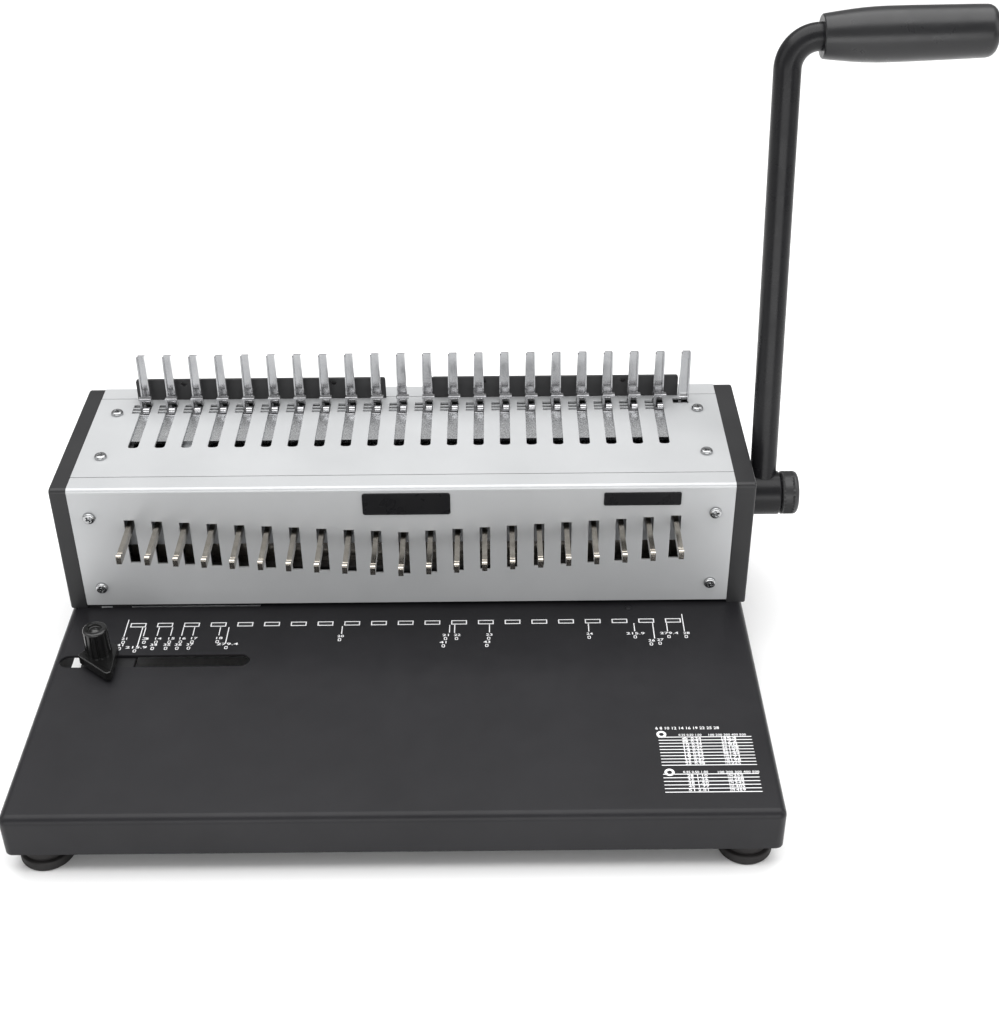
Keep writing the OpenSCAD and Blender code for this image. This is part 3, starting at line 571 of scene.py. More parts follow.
class Bench:
    """Hand tools that make and shape one mesh piece at a time."""

    @staticmethod
    def clear() -> None:
        """Leaves edit mode and deselects everything."""
        if bpy.context.mode != "OBJECT":
            bpy.ops.object.mode_set(mode="OBJECT")
        bpy.ops.object.select_all(action="DESELECT")

    @classmethod
    def take(cls, piece: bpy.types.Object) -> None:
        """Makes one piece the only selected and active one.

        Args:
            piece: The piece.
        """
        cls.clear()
        piece.select_set(True)
        bpy.context.view_layer.objects.active = piece

    @classmethod
    def settle(cls, piece: bpy.types.Object, name: str) -> bpy.types.Object:
        """Names a piece and moves its place into its mesh.

        Args:
            piece: The piece.
            name: Its name.

        Returns:
            The same piece, with its object at the origin.
        """
        cls.take(piece)
        bpy.ops.object.transform_apply(location=True, rotation=True, scale=True)
        piece.name = piece.data.name = name
        return piece

    @classmethod
    def block(cls, name: str, low: Sequence[float], high: Sequence[float]) -> bpy.types.Object:
        """Cuts a block to size.

        Args:
            name: Name of the block.
            low: Low corner in the drawing frame.
            high: High corner in the drawing frame.

        Returns:
            The block.
        """
        cls.clear()
        first, last = Vector(low), Vector(high)
        bpy.ops.mesh.primitive_cube_add(size=1.0, location=DATUM.at(*((first + last) / 2)))
        piece = bpy.context.object
        piece.scale = (last - first) * MM
        return cls.settle(piece, name)

    @classmethod
    def pick(cls, piece: bpy.types.Object, kind: Pick, test: Callable[..., bool]) -> None:
        """Selects elements by their place, and stays in edit mode.

        Args:
            piece: The piece.
            kind: Kind of element.
            test: Takes a vertex, the two ends of an edge, or a face's middle and normal, in
                drawing millimetres, and says whether it is wanted.
        """
        cls.take(piece)
        bpy.ops.object.mode_set(mode="EDIT")
        bpy.ops.mesh.select_mode(type=kind.value)
        bpy.ops.mesh.select_all(action="DESELECT")
        bpy.ops.object.mode_set(mode="OBJECT")
        mesh = piece.data
        zero = DATUM.at(0.0, 0.0, 0.0)
        spots = [(v.co - zero) / MM for v in mesh.vertices]
        if kind is Pick.VERTS:
            for vertex in mesh.vertices:
                vertex.select = bool(test(spots[vertex.index]))
        elif kind is Pick.EDGES:
            for edge in mesh.edges:
                edge.select = bool(test(*(spots[v] for v in edge.vertices)))
        else:
            for face in mesh.polygons:
                face.select = bool(test((face.center - zero) / MM, face.normal))
        bpy.ops.object.mode_set(mode="EDIT")

    @classmethod
    def round_edges(
        cls,
        piece: bpy.types.Object,
        radius: float,
        segments: int,
        test: Callable[[Vector, Vector], bool],
    ) -> None:
        """Rounds the edges whose two ends pass a test.

        Args:
            piece: The piece.
            radius: Radius in millimetres.
            segments: Facets of the rounding.
            test: Takes an edge's two ends.
        """
        cls.pick(piece, Pick.EDGES, test)
        bpy.ops.mesh.bevel(offset=radius * MM, segments=segments, affect="EDGES")
        cls.clear()

    @classmethod
    def drop_faces(
        cls, piece: bpy.types.Object, test: Callable[[Vector, Vector], bool]
    ) -> None:
        """Deletes the faces that pass a test.

        Args:
            piece: The piece.
            test: Takes a face's middle and normal.
        """
        cls.pick(piece, Pick.FACES, test)
        bpy.ops.mesh.delete(type="FACE")
        cls.clear()

    @classmethod
    def apply(cls, piece: bpy.types.Object) -> None:
        """Applies every modifier on a piece.

        Args:
            piece: The piece.
        """
        cls.take(piece)
        for modifier in list(piece.modifiers):
            bpy.ops.object.modifier_apply(modifier=modifier.name)

    @classmethod
    def soften(
        cls, piece: bpy.types.Object, width: float, segments: int = 2, angle: float = 40.0
    ) -> None:
        """Takes the sharpness off all edges above an angle.

        Args:
            piece: The piece.
            width: Width of the rounding, millimetres.
            segments: Its facets.
            angle: Least angle of an edge that is rounded, degrees.
        """
        bevel = piece.modifiers.new("edges", "BEVEL")
        bevel.width, bevel.segments = width * MM, segments
        bevel.limit_method, bevel.angle_limit = "ANGLE", math.radians(angle)
        bevel.miter_outer = "MITER_ARC"
        cls.apply(piece)

    @classmethod
    def thicken(cls, piece: bpy.types.Object, wall: float) -> None:
        """Gives a sheet its wall, inwards from its faces.

        Args:
            piece: The sheet.
            wall: Its thickness.
        """
        solid = piece.modifiers.new("wall", "SOLIDIFY")
        solid.thickness, solid.offset, solid.use_even_offset = wall * MM, -1.0, True
        cls.apply(piece)

    @classmethod
    def smooth(cls, piece: bpy.types.Object, angle: float = 35.0) -> None:
        """Shades a piece smooth but for edges above an angle.

        Args:
            piece: The piece.
            angle: Least angle of an edge that stays sharp, degrees.
        """
        cls.take(piece)
        bpy.ops.object.shade_smooth_by_angle(angle=math.radians(angle))
        even = piece.modifiers.new("even", "WEIGHTED_NORMAL")
        even.keep_sharp, even.weight = True, 60
        cls.apply(piece)

    @classmethod
    def face_out(cls, piece: bpy.types.Object) -> None:
        """Merges doubles and turns a closed piece's faces outwards.

        Args:
            piece: The piece.
        """
        cls.take(piece)
        bpy.ops.object.mode_set(mode="EDIT")
        bpy.ops.mesh.select_all(action="SELECT")
        bpy.ops.mesh.remove_doubles(threshold=0.002 * MM)
        bpy.ops.mesh.normals_make_consistent(inside=False)
        cls.clear()

    @classmethod
    def twin(cls, piece: bpy.types.Object, name: str, shift: Sequence[float]) -> bpy.types.Object:
        """Copies a piece with its own mesh.

        Args:
            piece: The piece to copy.
            name: Name of the copy.
            shift: Its distance from the first, millimetres.

        Returns:
            The copy.
        """
        copy = bpy.data.objects.new(name, piece.data.copy())
        bpy.context.scene.collection.objects.link(copy)
        copy.data.transform(Matrix.Translation(Vector(shift) * MM))
        return copy

    @classmethod
    def row(
        cls, first: bpy.types.Object, across: Sequence[float], behind: Sequence[float] = (0.0,)
    ) -> list[bpy.types.Object]:
        """Copies a pattern piece to all its places and clears it away.

        Args:
            first: The pattern piece.
            across: Distances of the copies to its right.
            behind: Distances of the copies behind it, for each of the former.

        Returns:
            The copies.
        """
        copies = [cls.twin(first, first.name, (x, y, 0.0)) for x in across for y in behind]
        bpy.data.objects.remove(first)
        return copies

    @classmethod
    def place(
        cls,
        piece: bpy.types.Object,
        spot: Sequence[float],
        turns: Sequence[tuple[float, str]],
        about: Point = (0.0, 0.0, 0.0),
    ) -> None:
        """Turns a piece about a point and brings that point to a spot.

        Args:
            piece: The piece.
            spot: Where the point comes to.
            turns: Angle in degrees and axis of each rotation, the last one made first.
            about: The point that it turns about.
        """
        move = Matrix.Translation(DATUM.at(*spot))
        for angle, axis in turns:
            move = move @ Matrix.Rotation(math.radians(angle), 4, axis)
        piece.data.transform(move @ Matrix.Translation(-DATUM.at(*about)))

    @classmethod
    def extrude(cls, x: float, y: float, z: float) -> None:
        """Extrudes what is selected in edit mode by a distance in millimetres."""
        step = (x * MM, y * MM, z * MM)
        bpy.ops.mesh.extrude_region_move(TRANSFORM_OT_translate={"value": step})

    @classmethod
    def shift(
        cls, piece: bpy.types.Object, move: Sequence[float], test: Callable[[Vector], bool]
    ) -> None:
        """Moves the vertices that pass a test by a distance in millimetres.

        Args:
            piece: The piece.
            move: The distance.
            test: Takes a vertex.
        """
        cls.pick(piece, Pick.VERTS, test)
        bpy.ops.transform.translate(value=Vector(move) * MM)
        cls.clear()

    @classmethod
    def join(cls, pieces: Sequence[bpy.types.Object], name: str) -> bpy.types.Object:
        """Joins pieces into one.

        Args:
            pieces: The pieces, of which the first one stays.
            name: Name of the whole.

        Returns:
            The joined piece.
        """
        cls.clear()
        for piece in pieces:
            piece.select_set(True)
        bpy.context.view_layer.objects.active = pieces[0]
        if len(pieces) > 1:
            bpy.ops.object.join()
        return cls.settle(pieces[0], name)

    @classmethod
    def cut(cls, piece: bpy.types.Object, cutters: Sequence[bpy.types.Object]) -> None:
        """Cuts the cutters' shapes out of a piece and clears them away.

        Args:
            piece: The piece.
            cutters: The cutters.
        """
        tool = cls.join(cutters, "cutter")
        hole = piece.modifiers.new("cut", "BOOLEAN")
        hole.operation, hole.solver, hole.object = "DIFFERENCE", "EXACT", tool
        hole.use_self = True
        cls.apply(piece)
        bpy.data.objects.remove(tool)

    @classmethod
    def turned(
        cls,
        name: str,
        stations: Sequence[Pair],
        spot: Sequence[float],
        turn: Turn,
        sides: int = 64,
    ) -> bpy.types.Object:
        """Turns a round piece as on a lathe.

        Args:
            name: Name of the piece.
            stations: Distance along the axis and radius at each station, millimetres.
            spot: Where the axis begins, drawing frame.
            turn: Direction of the axis.
            sides: Facets round the axis.

        Returns:
            The closed piece.
        """
        cls.clear()
        start, radius = stations[0]
        bpy.ops.mesh.primitive_circle_add(
            vertices=sides, radius=radius * MM, fill_type="NGON", location=(0.0, 0.0, start * MM)
        )
        piece = bpy.context.object
        bpy.ops.object.mode_set(mode="EDIT")
        bpy.ops.mesh.select_mode(type="FACE")
        bpy.ops.mesh.select_all(action="SELECT")
        for (z0, r0), (z1, r1) in zip(stations, stations[1:]):
            cls.extrude(0.0, 0.0, z1 - z0)
            if r1 != r0:
                bpy.ops.transform.resize(
                    value=(r1 / r0, r1 / r0, 1.0), center_override=(0.0, 0.0, 0.0)
                )
        cls.settle(piece, name)
        piece.rotation_euler = [math.radians(a) for a in turn.value]
        piece.location = DATUM.at(*spot)
        cls.settle(piece, name)
        cls.face_out(piece)
        return piece

    @classmethod
    def finish(
        cls,
        piece: bpy.types.Object,
        wardrobe: Wardrobe,
        finish: Finish,
        body: str,
        *nodes: str,
    ) -> None:
        """Dresses a piece, lets it ride on a body and stands it in for CAD nodes.

        Args:
            piece: The piece.
            wardrobe: The finishes.
            finish: Its finish.
            body: The body it moves with.
            nodes: CAD nodes that it stands for.
        """
        wardrobe.dress(piece, finish)
        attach(piece, body)
        if nodes:
            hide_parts(*nodes)
        LOG.info("%s rides on %s, %d faces", piece.name, body, len(piece.data.polygons))


# ---- Sub-assemblies ----


def arc(radius: float, start: float, end: float, steps: int) -> list[Pair]:
    """Gives points on an arc about zero.

    Args:
        radius: Its radius.
        start: First angle, degrees.
        end: Last angle, degrees.
        steps: Number of facets.

    Returns:
        The points.
    """
    angles = [math.radians(start + (end - start) * i / steps) for i in range(steps + 1)]
    return [(radius * math.cos(a), radius * math.sin(a)) for a in angles]


@dataclass(frozen=True)
class HoleRow:
    """Places of the punched holes, which the marks, pulls, tines and hooks follow.

    Attributes:
        pitch: Distance from hole to hole.
        count: Number of holes.
        comb_shift: How far the comb slots stand to the right of the holes.
    """

    pitch: float = 14.2875
    count: int = 21
    comb_shift: float = -3.1

    def pins(self) -> list[float]:
        """Gives the middle of every punched hole across the machine.

        Returns:
            The places.
        """
        middle = (self.count - 1) / 2
        return [(k - middle) * self.pitch for k in range(self.count)]

    def combs(self, extra: int = 0) -> list[float]:
        """Gives the middle of every comb slot across the machine.

        Args:
            extra: Further places after the last one.

        Returns:
            The places.
        """
        middle = (self.count - 1) / 2
        return [(k - middle) * self.pitch + self.comb_shift for k in range(self.count + extra)]


@dataclass
class BaseTable:
    """Folded base sheet with its openings and feet.

    Attributes:
        wardrobe: The finishes.
        sheet: Thickness of the sheet.
        corner: Radius of its folds and upright corners.
        flange: Width of the flanges folded in under the front and the rear.
        die_slot: Opening over the die.
        stop_slot: Slot of the paper stop.
        guide_slot: Slot of the margin guide, with round ends.
        tray_mouth: Opening of the chip tray.
        rib: Stiffening rib under the left end of the punch head.
        rivet: Place of the one rivet.
        rivet_dome: Heights and radii of the rivet.
        foot: Radius of a foot.
        cup: Radius and depth of the hole for its screw.
    """

    wardrobe: Wardrobe
    sheet: float = 1.5
    corner: float = 4.0
    flange: float = 27.0
    die_slot: Box = ((-167.25, 163.3, -4.0), (167.25, 177.3, 2.0))
    stop_slot: Box = ((-178.25, 158.6, -4.0), (-79.65, 161.6, 2.0))
    guide_slot: Box = ((-178.25, 108.45, -4.0), (-79.65, 117.95, 2.0))
    tray_mouth: Box = ((-150.3, 236.3, -24.0), (150.3, 268.0, -10.8))
    rib: Box = ((-178.0, 170.0, -21.0), (-151.0, 171.5, -1.4))
    rivet: Pair = (119.7, 154.1)
    rivet_dome: tuple[Pair, ...] = ((-0.6, 1.7), (0.2, 1.7), (0.5, 1.4), (0.7, 0.8))
    foot: float = 13.0
    cup: Pair = (3.7, 4.0)

    def shell(self) -> None:
        """Folds the base from one sheet and cuts its openings."""
        low, high = DATUM.box("base_shell")
        shell = Bench.block("base_sheet", low, high)
        Bench.round_edges(
            shell,
            self.corner,
            7,
            lambda a, b: (a.z > -1.0 and b.z > -1.0) or abs(a.z - b.z) > 5.0,
        )
        Bench.drop_faces(shell, lambda middle, normal: normal.z < -0.9)
        for front, run in ((low.y, self.flange), (high.y, -self.flange)):
            Bench.pick(
                shell,
                Pick.EDGES,
                lambda a, b, y=front: max(a.z, b.z) < low.z + NEAR
                and max(abs(a.y - y), abs(b.y - y)) < NEAR
                and abs(a.x - b.x) > 50.0,
            )
            Bench.extrude(0.0, run, 0.0)
            Bench.clear()
        Bench.thicken(shell, self.sheet)
        slot = Bench.block("slot", *self.guide_slot)
        width = self.guide_slot[1][1] - self.guide_slot[0][1]
        Bench.round_edges(slot, width / 2 - NEAR, 12, lambda a, b: abs(a.z - b.z) > 1.0)
        openings = (self.die_slot, self.stop_slot, self.tray_mouth)
        Bench.cut(shell, [slot, *(Bench.block("slot", *box) for box in openings)])
        Bench.soften(shell, 0.22, 2, 50.0)
        rib = Bench.block("rib", *self.rib)
        Bench.soften(rib, 0.2, 2, 50.0)
        rivet = Bench.turned("rivet", self.rivet_dome, (*self.rivet, 0.0), Turn.UP, 24)
        shell = Bench.join([shell, rib, rivet], "base_sheet")
        Bench.smooth(shell)
        Bench.finish(shell, self.wardrobe, Finish.CHARCOAL, "machine", "base_shell")

    def feet(self) -> None:
        """Turns the four rubber feet, each with a grooved side and a sunk hole for its screw."""
        low, high = DATUM.box("rubber_feet")
        radius = self.foot
        stations = [
            (0.0, radius - 1.6),
            *[(1.2 - y, radius - 1.2 + x) for x, y in arc(1.2, 90.0, 0.0, 4)],
            (4.4, radius),
            *[(4.4 + y, radius - 1.0 + x) for x, y in arc(1.0, 0.0, 80.0, 4)],
            (5.6, radius - 1.9),
            (6.4, radius - 1.9),
            (7.0, radius - 1.5),
            (high.z - low.z, radius - 1.7),
        ]
        bore, depth = self.cup
        middles = [
            (x, y, low.z)
            for x in (low.x + radius, high.x - radius)
            for y in (low.y + radius, high.y - radius)
        ]
        feet = [Bench.turned("foot", stations, spot, Turn.UP, 56) for spot in middles]
        wall = [(-1.0, bore), (depth, bore)]
        cups = [Bench.turned("cup", wall, spot, Turn.UP, 32) for spot in middles]
        foot = Bench.join(feet, "feet")
        Bench.cut(foot, cups)
        Bench.smooth(foot)
        Bench.finish(foot, self.wardrobe, Finish.RUBBER, "machine", "rubber_feet")

    def build(self) -> None:
        """Builds the base."""
        self.shell()
        self.feet()


@dataclass(frozen=True)
class ChartBlock:
    """One block of ruled rows in the size chart.

    Attributes:
        top: Place of its uppermost rule from the front.
        step: Distance from rule to rule.
        rules: Number of rules.
        dial: Middle of its round mark.
        heads: Words, middle and width of its two headings.
    """

    top: float
    step: float
    rules: int
    dial: Pair
    heads: tuple[tuple[str, Pair, float], ...]


@dataclass
class Markings:
    """White marks on the table: hole outlines, stop lines, plain numbers and a size chart.

    Attributes:
        wardrobe: The finishes.
        row: Places of the holes.
        ink: Thickness of the ink.
        outline: Width and depth of a hole's outline.
        outline_y: Middle of the outlines from the front.
        line: Width of the stop lines.
        rule: Width of the chart's rules.
        figures: Height of the numbers by the stop lines.
        stops: Stop lines: place across, then their rear and front ends.
        numbers: Numbers by the stop lines: words, place across, place from the front, width.
        doubled: Numbers that have a second one in front of them.
        sizes: Comb sizes that the chart lists, row by row.
        chart_x: Left and right ends of the chart's rules.
        blocks: The chart's two blocks.
    """

    wardrobe: Wardrobe
    row: HoleRow
    ink: float = 0.04
    outline: Pair = (8.4, 3.5)
    outline_y: float = 142.95
    line: float = 0.5
    rule: float = 0.46
    figures: float = 1.9
    stops: tuple[Point, ...] = (
        (-148.8, 147.7, 133.4), (-140.2, 141.0, 125.4), (-138.5, 140.9, 133.6),
        (-131.3, 140.9, 133.9), (-124.2, 140.9, 133.9), (-118.3, 140.9, 133.8),
        (-112.4, 140.9, 133.8), (-98.6, 140.6, 133.8), (-94.1, 140.5, 127.4),
        (-33.6, 140.6, 134.0), (23.6, 140.8, 134.4), (26.3, 140.8, 134.1),
        (44.8, 140.9, 134.2), (97.5, 140.9, 134.2), (121.8, 140.9, 134.1),
        (131.8, 141.0, 127.9), (139.2, 140.9, 133.8), (148.1, 148.4, 133.7),
    )
    numbers: tuple[tuple[str, float, float, float], ...] = (
        ("21", -147.9, 131.5, 2.9), ("215.9", -140.6, 124.3, 11.2), ("3", -136.9, 131.4, 3.4),
        ("14", -130.6, 131.4, 3.4), ("15", -123.6, 131.4, 3.4), ("16", -117.7, 131.4, 3.4),
        ("17", -111.6, 131.4, 3.4), ("18", -98.3, 131.4, 3.4), ("279.4", -93.0, 126.4, 11.2),
        ("20", -33.9, 132.1, 3.4), ("21", 22.0, 132.2, 3.4), ("22", 27.8, 132.2, 3.4),
        ("23", 44.8, 132.2, 3.4), ("24", 97.8, 132.2, 3.4), ("215.9", 122.1, 132.2, 9.6),
        ("26", 130.1, 126.2, 3.4), ("27", 134.7, 126.8, 3.4), ("279.4", 139.9, 132.2, 9.6),
        ("28", 149.0, 132.1, 3.4),
    )
    doubled: tuple[str, ...] = ("14", "15", "16", "17", "21", "23")
    sizes: tuple[int, ...] = (6, 8, 10, 12, 14, 16, 19, 22, 25, 28, 32, 38, 45, 51)
    chart_x: Pair = (126.9, 172.2)
    blocks: tuple[ChartBlock, ...] = (
        ChartBlock(
            51.9, 2.17, 10, (128.6, 53.9),
            (("0.25 0.50 1.00", (142.5, 53.3), 11.2), ("100 200 300 400 500", (160.4, 53.2), 18.2)),
        ),
        ChartBlock(
            26.3, 2.38, 6, (130.1, 27.6),
            (("0.25 0.50 1.00", (142.4, 27.6), 11.8), ("100 200 300 400 500", (162.6, 27.4), 19.6)),
        ),
    )

    def stroke(self, start: Pair, end: Pair, width: float) -> bpy.types.Object:
        """Lays one straight line of ink.

        Args:
            start: First end on the table.
            end: Second end on the table.
            width: Width of the line.

        Returns:
            The line.
        """
        a, b = Vector((*start, 0.0)), Vector((*end, 0.0))
        half = (b - a).length / 2
        piece = Bench.block("ink", (-half, -width / 2, 0.0), (half, width / 2, self.ink))
        turn = math.degrees(math.atan2(b.y - a.y, b.x - a.x))
        Bench.place(piece, (a + b) / 2, [(turn, "Z")])
        return piece

    def text(self, words: str, at: Pair, height: float, width: float) -> bpy.types.Object:
        """Prints plain numbers.

        Args:
            words: The numbers.
            at: Middle of the print on the table.
            height: Height of the figures.
            width: Width of the print.

        Returns:
            The print as a mesh.
        """
        Bench.clear()
        bpy.ops.object.text_add(location=(0.0, 0.0, 0.0))
        piece = bpy.context.object
        piece.data.body = words
        piece.data.align_x, piece.data.align_y = "CENTER", "CENTER"
        piece.data.size = height * 1.38 * MM
        piece.data.resolution_u = 2
        piece.data.offset = 0.012 * height * MM
        piece.data.extrude = self.ink * MM / 2
        bpy.ops.object.convert(target="MESH")
        piece.scale.x = width * MM / max(piece.dimensions.x, 1e-6)
        piece.location = DATUM.at(*at, self.ink / 2)
        return Bench.settle(piece, "figures")

    def frame(
        self, name: str, at: Pair, size: Pair, line: float, corner: float = 0.0
    ) -> bpy.types.Object:
        """Prints the outline of a small rectangle.

        Args:
            name: Name of the mark.
            at: Its middle on the table.
            size: Its width and depth.
            line: Width of its line.
            corner: Radius of its corners.

        Returns:
            The outline.
        """
        Bench.clear()
        bpy.ops.mesh.primitive_plane_add(size=1.0, location=DATUM.at(*at, 0.0))
        piece = bpy.context.object
        piece.scale = (size[0] * MM, size[1] * MM, 1.0)
        Bench.settle(piece, name)
        Bench.pick(piece, Pick.VERTS, lambda spot: True)
        if corner:
            bpy.ops.mesh.bevel(offset=corner * MM, segments=2, affect="VERTICES")
        bpy.ops.mesh.select_all(action="SELECT")
        bpy.ops.mesh.inset(thickness=line * MM, depth=0.0)
        bpy.ops.mesh.delete(type="FACE")
        bpy.ops.mesh.select_all(action="SELECT")
        Bench.extrude(0.0, 0.0, self.ink)
        Bench.clear()
        Bench.face_out(piece)
        return piece

    def tab(self, x: float, y: float) -> bpy.types.Object:
        """Prints a small sheet symbol: a round-cornered outline."""
        return self.frame("tab", (x, y), (1.7, 2.3), 0.36, 0.5)

    def ring(self, at: Pair, radius: float) -> bpy.types.Object:
        """Prints a round mark with a bare middle.

        Args:
            at: Its middle on the table.
            radius: Its outer radius.

        Returns:
            The mark.
        """
        spot, bore = (*at, 0.0), radius * 0.5
        mark = Bench.turned("ring", [(0.0, radius), (self.ink, radius)], spot, Turn.UP, 28)
        Bench.cut(mark, [Bench.turned("cutter", [(-1.0, bore), (1.0, bore)], spot, Turn.UP, 20)])
        return mark

    def hole_fills(self) -> None:
        """Prints the dark middles of the outlines."""
        half_x, half_y = self.outline[0] / 2 - 0.3, self.outline[1] / 2 - 0.3
        first = Bench.block(
            "fill",
            (-half_x, self.outline_y - half_y, 0.0),
            (half_x, self.outline_y + half_y, self.ink * 0.6),
        )
        fills = Bench.join(Bench.row(first, self.row.pins()), "outline_fills")
        Bench.finish(fills, self.wardrobe, Finish.BLACK, "machine")

    def scale(self) -> None:
        """Prints the outlines, the stop lines and their plain numbers."""
        outline = self.frame("outline", (0.0, self.outline_y), self.outline, self.line * 1.15)
        marks = Bench.row(outline, self.row.pins())
        marks += [self.stroke((x, rear), (x, front), self.line) for x, rear, front in self.stops]
        marks += [
            self.text(words, (x, y), self.figures, width) for words, x, y, width in self.numbers
        ]
        second = [(int(words), x) for words, x, _, _ in self.numbers if words in self.doubled]
        marks += [
            self.text(str(number + 20), (x - 1.2, 126.2), self.figures, 3.6) for number, x in second
        ]
        marks += [self.tab(x - 0.4, y - 2.9) for _, x, y, _ in self.numbers]
        marks += [self.tab(x - 1.4, 123.3) for _, x in second]
        piece = Bench.join(marks, "table_marks")
        Bench.finish(piece, self.wardrobe, Finish.WHITE, "machine")

    def chart(self) -> None:
        """Prints the chart of comb sizes: a heading and two blocks of rows, all plain numbers."""
        sizes = iter(self.sizes)
        left, right = self.chart_x
        marks = [self.text("6 8 10 12 14 16 19 22 25 28", (141.6, 58.2), self.figures, 31.1)]
        for block in self.blocks:
            rules = [block.top - block.step * k for k in range(block.rules)]
            marks += [self.stroke((left, y), (right, y), self.rule) for y in rules]
            marks.append(self.ring(block.dial, 2.4))
            marks += [self.text(words, at, 1.45, width) for words, at, width in block.heads]
            for upper, lower in zip(rules, rules[1:]):
                y, size = (upper + lower) / 2, next(sizes)
                cells = (
                    (f"{size}", 139.7, 2.9), (f"{size / 25.4:.2f}", 145.1, 4.9),
                    (f"{size * 8 - 30}", 158.4, 2.3), (f"{size * 9}", 162.4, 4.6),
                )
                marks += [self.text(words, (x, y), 1.5, width) for words, x, width in cells]
        piece = Bench.join(marks, "size_chart")
        Bench.finish(piece, self.wardrobe, Finish.WHITE, "machine")

    def build(self) -> None:
        """Prints everything."""
        self.scale()
        self.hole_fills()
        self.chart()


@dataclass
class PunchHead:
    """Covers, panels, screws, plates and pulls of the punch head.

    Attributes:
        wardrobe: The finishes.
        row: Places of the holes.
        cover: Widths of the left and the right cover.
        cover_wall: Wall of the covers.
        cover_tail: How far the covers reach past their solids to the rear.
        cover_rounds: Radii of a cover's upper rear edge, upper front edge and outer rim.
        shaft: Place of the cross shaft.
        shaft_bore: Radius of the right cover's hole for the shaft.
        seam: Gaps in front of the top panel and behind it.
        panel: Thickness of the silver sheets.
        fold: Radius of the front and the rear cover's fold.
        front_slot: Width and height of a pull's slot, and its top above the pull's lower side.
        top_slot: Width and length of a comb slot.
        top_slot_end: Distance of the slots' rear ends from the panel's rear edge.
        window: Width and length of a slot's side window.
        window_back: Distance of a window's front end from its slot's rear end.
        rungs: Distances of a window's two rungs from its front end.
        rung_wide: Width of a rung.
        screw: Radius and height of a screw head.
        screw_x: Places of the front and the top screws from the middle.
        screw_z: Heights of the front and the rear screws.
        screw_y: Places of the top screws from the front.
        spins: How far each screw is turned, degrees.
        name_plate: Left, right, lower and upper edge of the larger plate.
        model_plate: The same of the smaller plate.
        lip: Radius of a pull's curled lip.
        lip_rise: How far the lip stands above a pull.
        groove: Front and rear end of the groove behind the lip, from the pull's front end.
    """

    wardrobe: Wardrobe
    row: HoleRow
    cover: Pair = (9.0, 10.3)
    cover_wall: float = 1.8
    cover_tail: float = 3.4
    cover_rounds: Point = (8.0, 2.6, 1.1)
    shaft: Pair = SHAFT
    shaft_bore: float = 6.6
    seam: Pair = (0.35, 0.5)
    panel: float = 1.2
    fold: float = 2.2
    front_slot: Point = (5.4, 27.4, 6.7)
    top_slot: Pair = (5.6, 48.2)
    top_slot_end: float = 4.5
    window: Pair = (4.5, 9.4)
    window_back: float = 11.9
    rungs: Pair = (2.5, 5.7)
    rung_wide: float = 1.2
    screw: Pair = (3.3, 1.9)
    screw_x: Pair = (163.35, 161.05)
    screw_z: Pair = (14.0, 59.4)
    screw_y: Pair = (189.7, 234.8)
    spins: tuple[float, ...] = (
        12.0, 38.0, 55.0, 20.0, 5.0, 70.0, 33.0, 81.0, 28.0, 47.0, 62.0, 9.0,
    )
    name_plate: tuple[float, float, float, float] = (-20.5, 25.2, 59.9, 73.05)
    model_plate: tuple[float, float, float, float] = (104.9, 145.0, 64.5, 72.3)
    lip: float = 1.6
    lip_rise: float = 0.8
    groove: Pair = (3.1, 4.6)

    def side_covers(self) -> None:
        """Presses the two side covers as open pans with rounded edges."""
        rear_round, front_round, rim_round = self.cover_rounds
        for side, width, node in zip((-1, 1), self.cover, ("side_cover_left", "side_cover_right")):
            low, high = DATUM.box(node)
            inner = (low.x if side < 0 else high.x) - side * self.cover[0]
            outer = inner + side * width
            low.x, high.x = min(outer, inner), max(outer, inner)
            high.y += self.cover_tail
            cover = Bench.block(node + "_pan", low, high)
            Bench.round_edges(
                cover,
                rear_round,
                8,
                lambda a, b: min(a.z, b.z) > high.z - NEAR and min(a.y, b.y) > high.y - NEAR,
            )
            Bench.round_edges(
                cover,
                front_round,
                6,
                lambda a, b: min(a.z, b.z) > high.z - NEAR and max(a.y, b.y) < low.y + NEAR,
            )
            Bench.round_edges(
                cover,
                rim_round,
                4,
                lambda a, b: abs(a.x - outer) < NEAR and abs(b.x - outer) < NEAR,
            )
            Bench.drop_faces(cover, lambda middle, normal: abs(middle.x - inner) < NEAR)
            Bench.thicken(cover, self.cover_wall)
            if side > 0:
                bore = [(0.0, self.shaft_bore), (24.0, self.shaft_bore)]
                spot = (outer - 16.0, *self.shaft)
                Bench.cut(cover, [Bench.turned("cutter", bore, spot, Turn.RIGHT, 40)])
            Bench.smooth(cover, 40.0)
            Bench.finish(cover, self.wardrobe, Finish.COVER, "machine", node)

    def folded_sheet(self, name: str, node: str, side: int) -> bpy.types.Object:
        """Folds a sheet over the head: an upright face, a rounded fold and a strip on top.

        Args:
            name: Name of the sheet.
            node: CAD node that gives its box.
            side: -1 for the front of the head, 1 for the rear.

        Returns:
            The sheet with its thickness.
        """
        low, high = DATUM.box(node)
        face = low.y if side < 0 else high.y
        sheet = Bench.block(name, low, high)
        Bench.round_edges(
            sheet,
            self.fold,
            6,
            lambda a, b: min(a.z, b.z) > high.z - NEAR
            and max(abs(a.y - face), abs(b.y - face)) < NEAR,
        )
        Bench.drop_faces(
            sheet,
            lambda middle, normal: abs(normal.x) > 0.9
            or normal.y * side < -0.9
            or normal.z < -0.9,
        )
        Bench.thicken(sheet, self.panel)
        return sheet

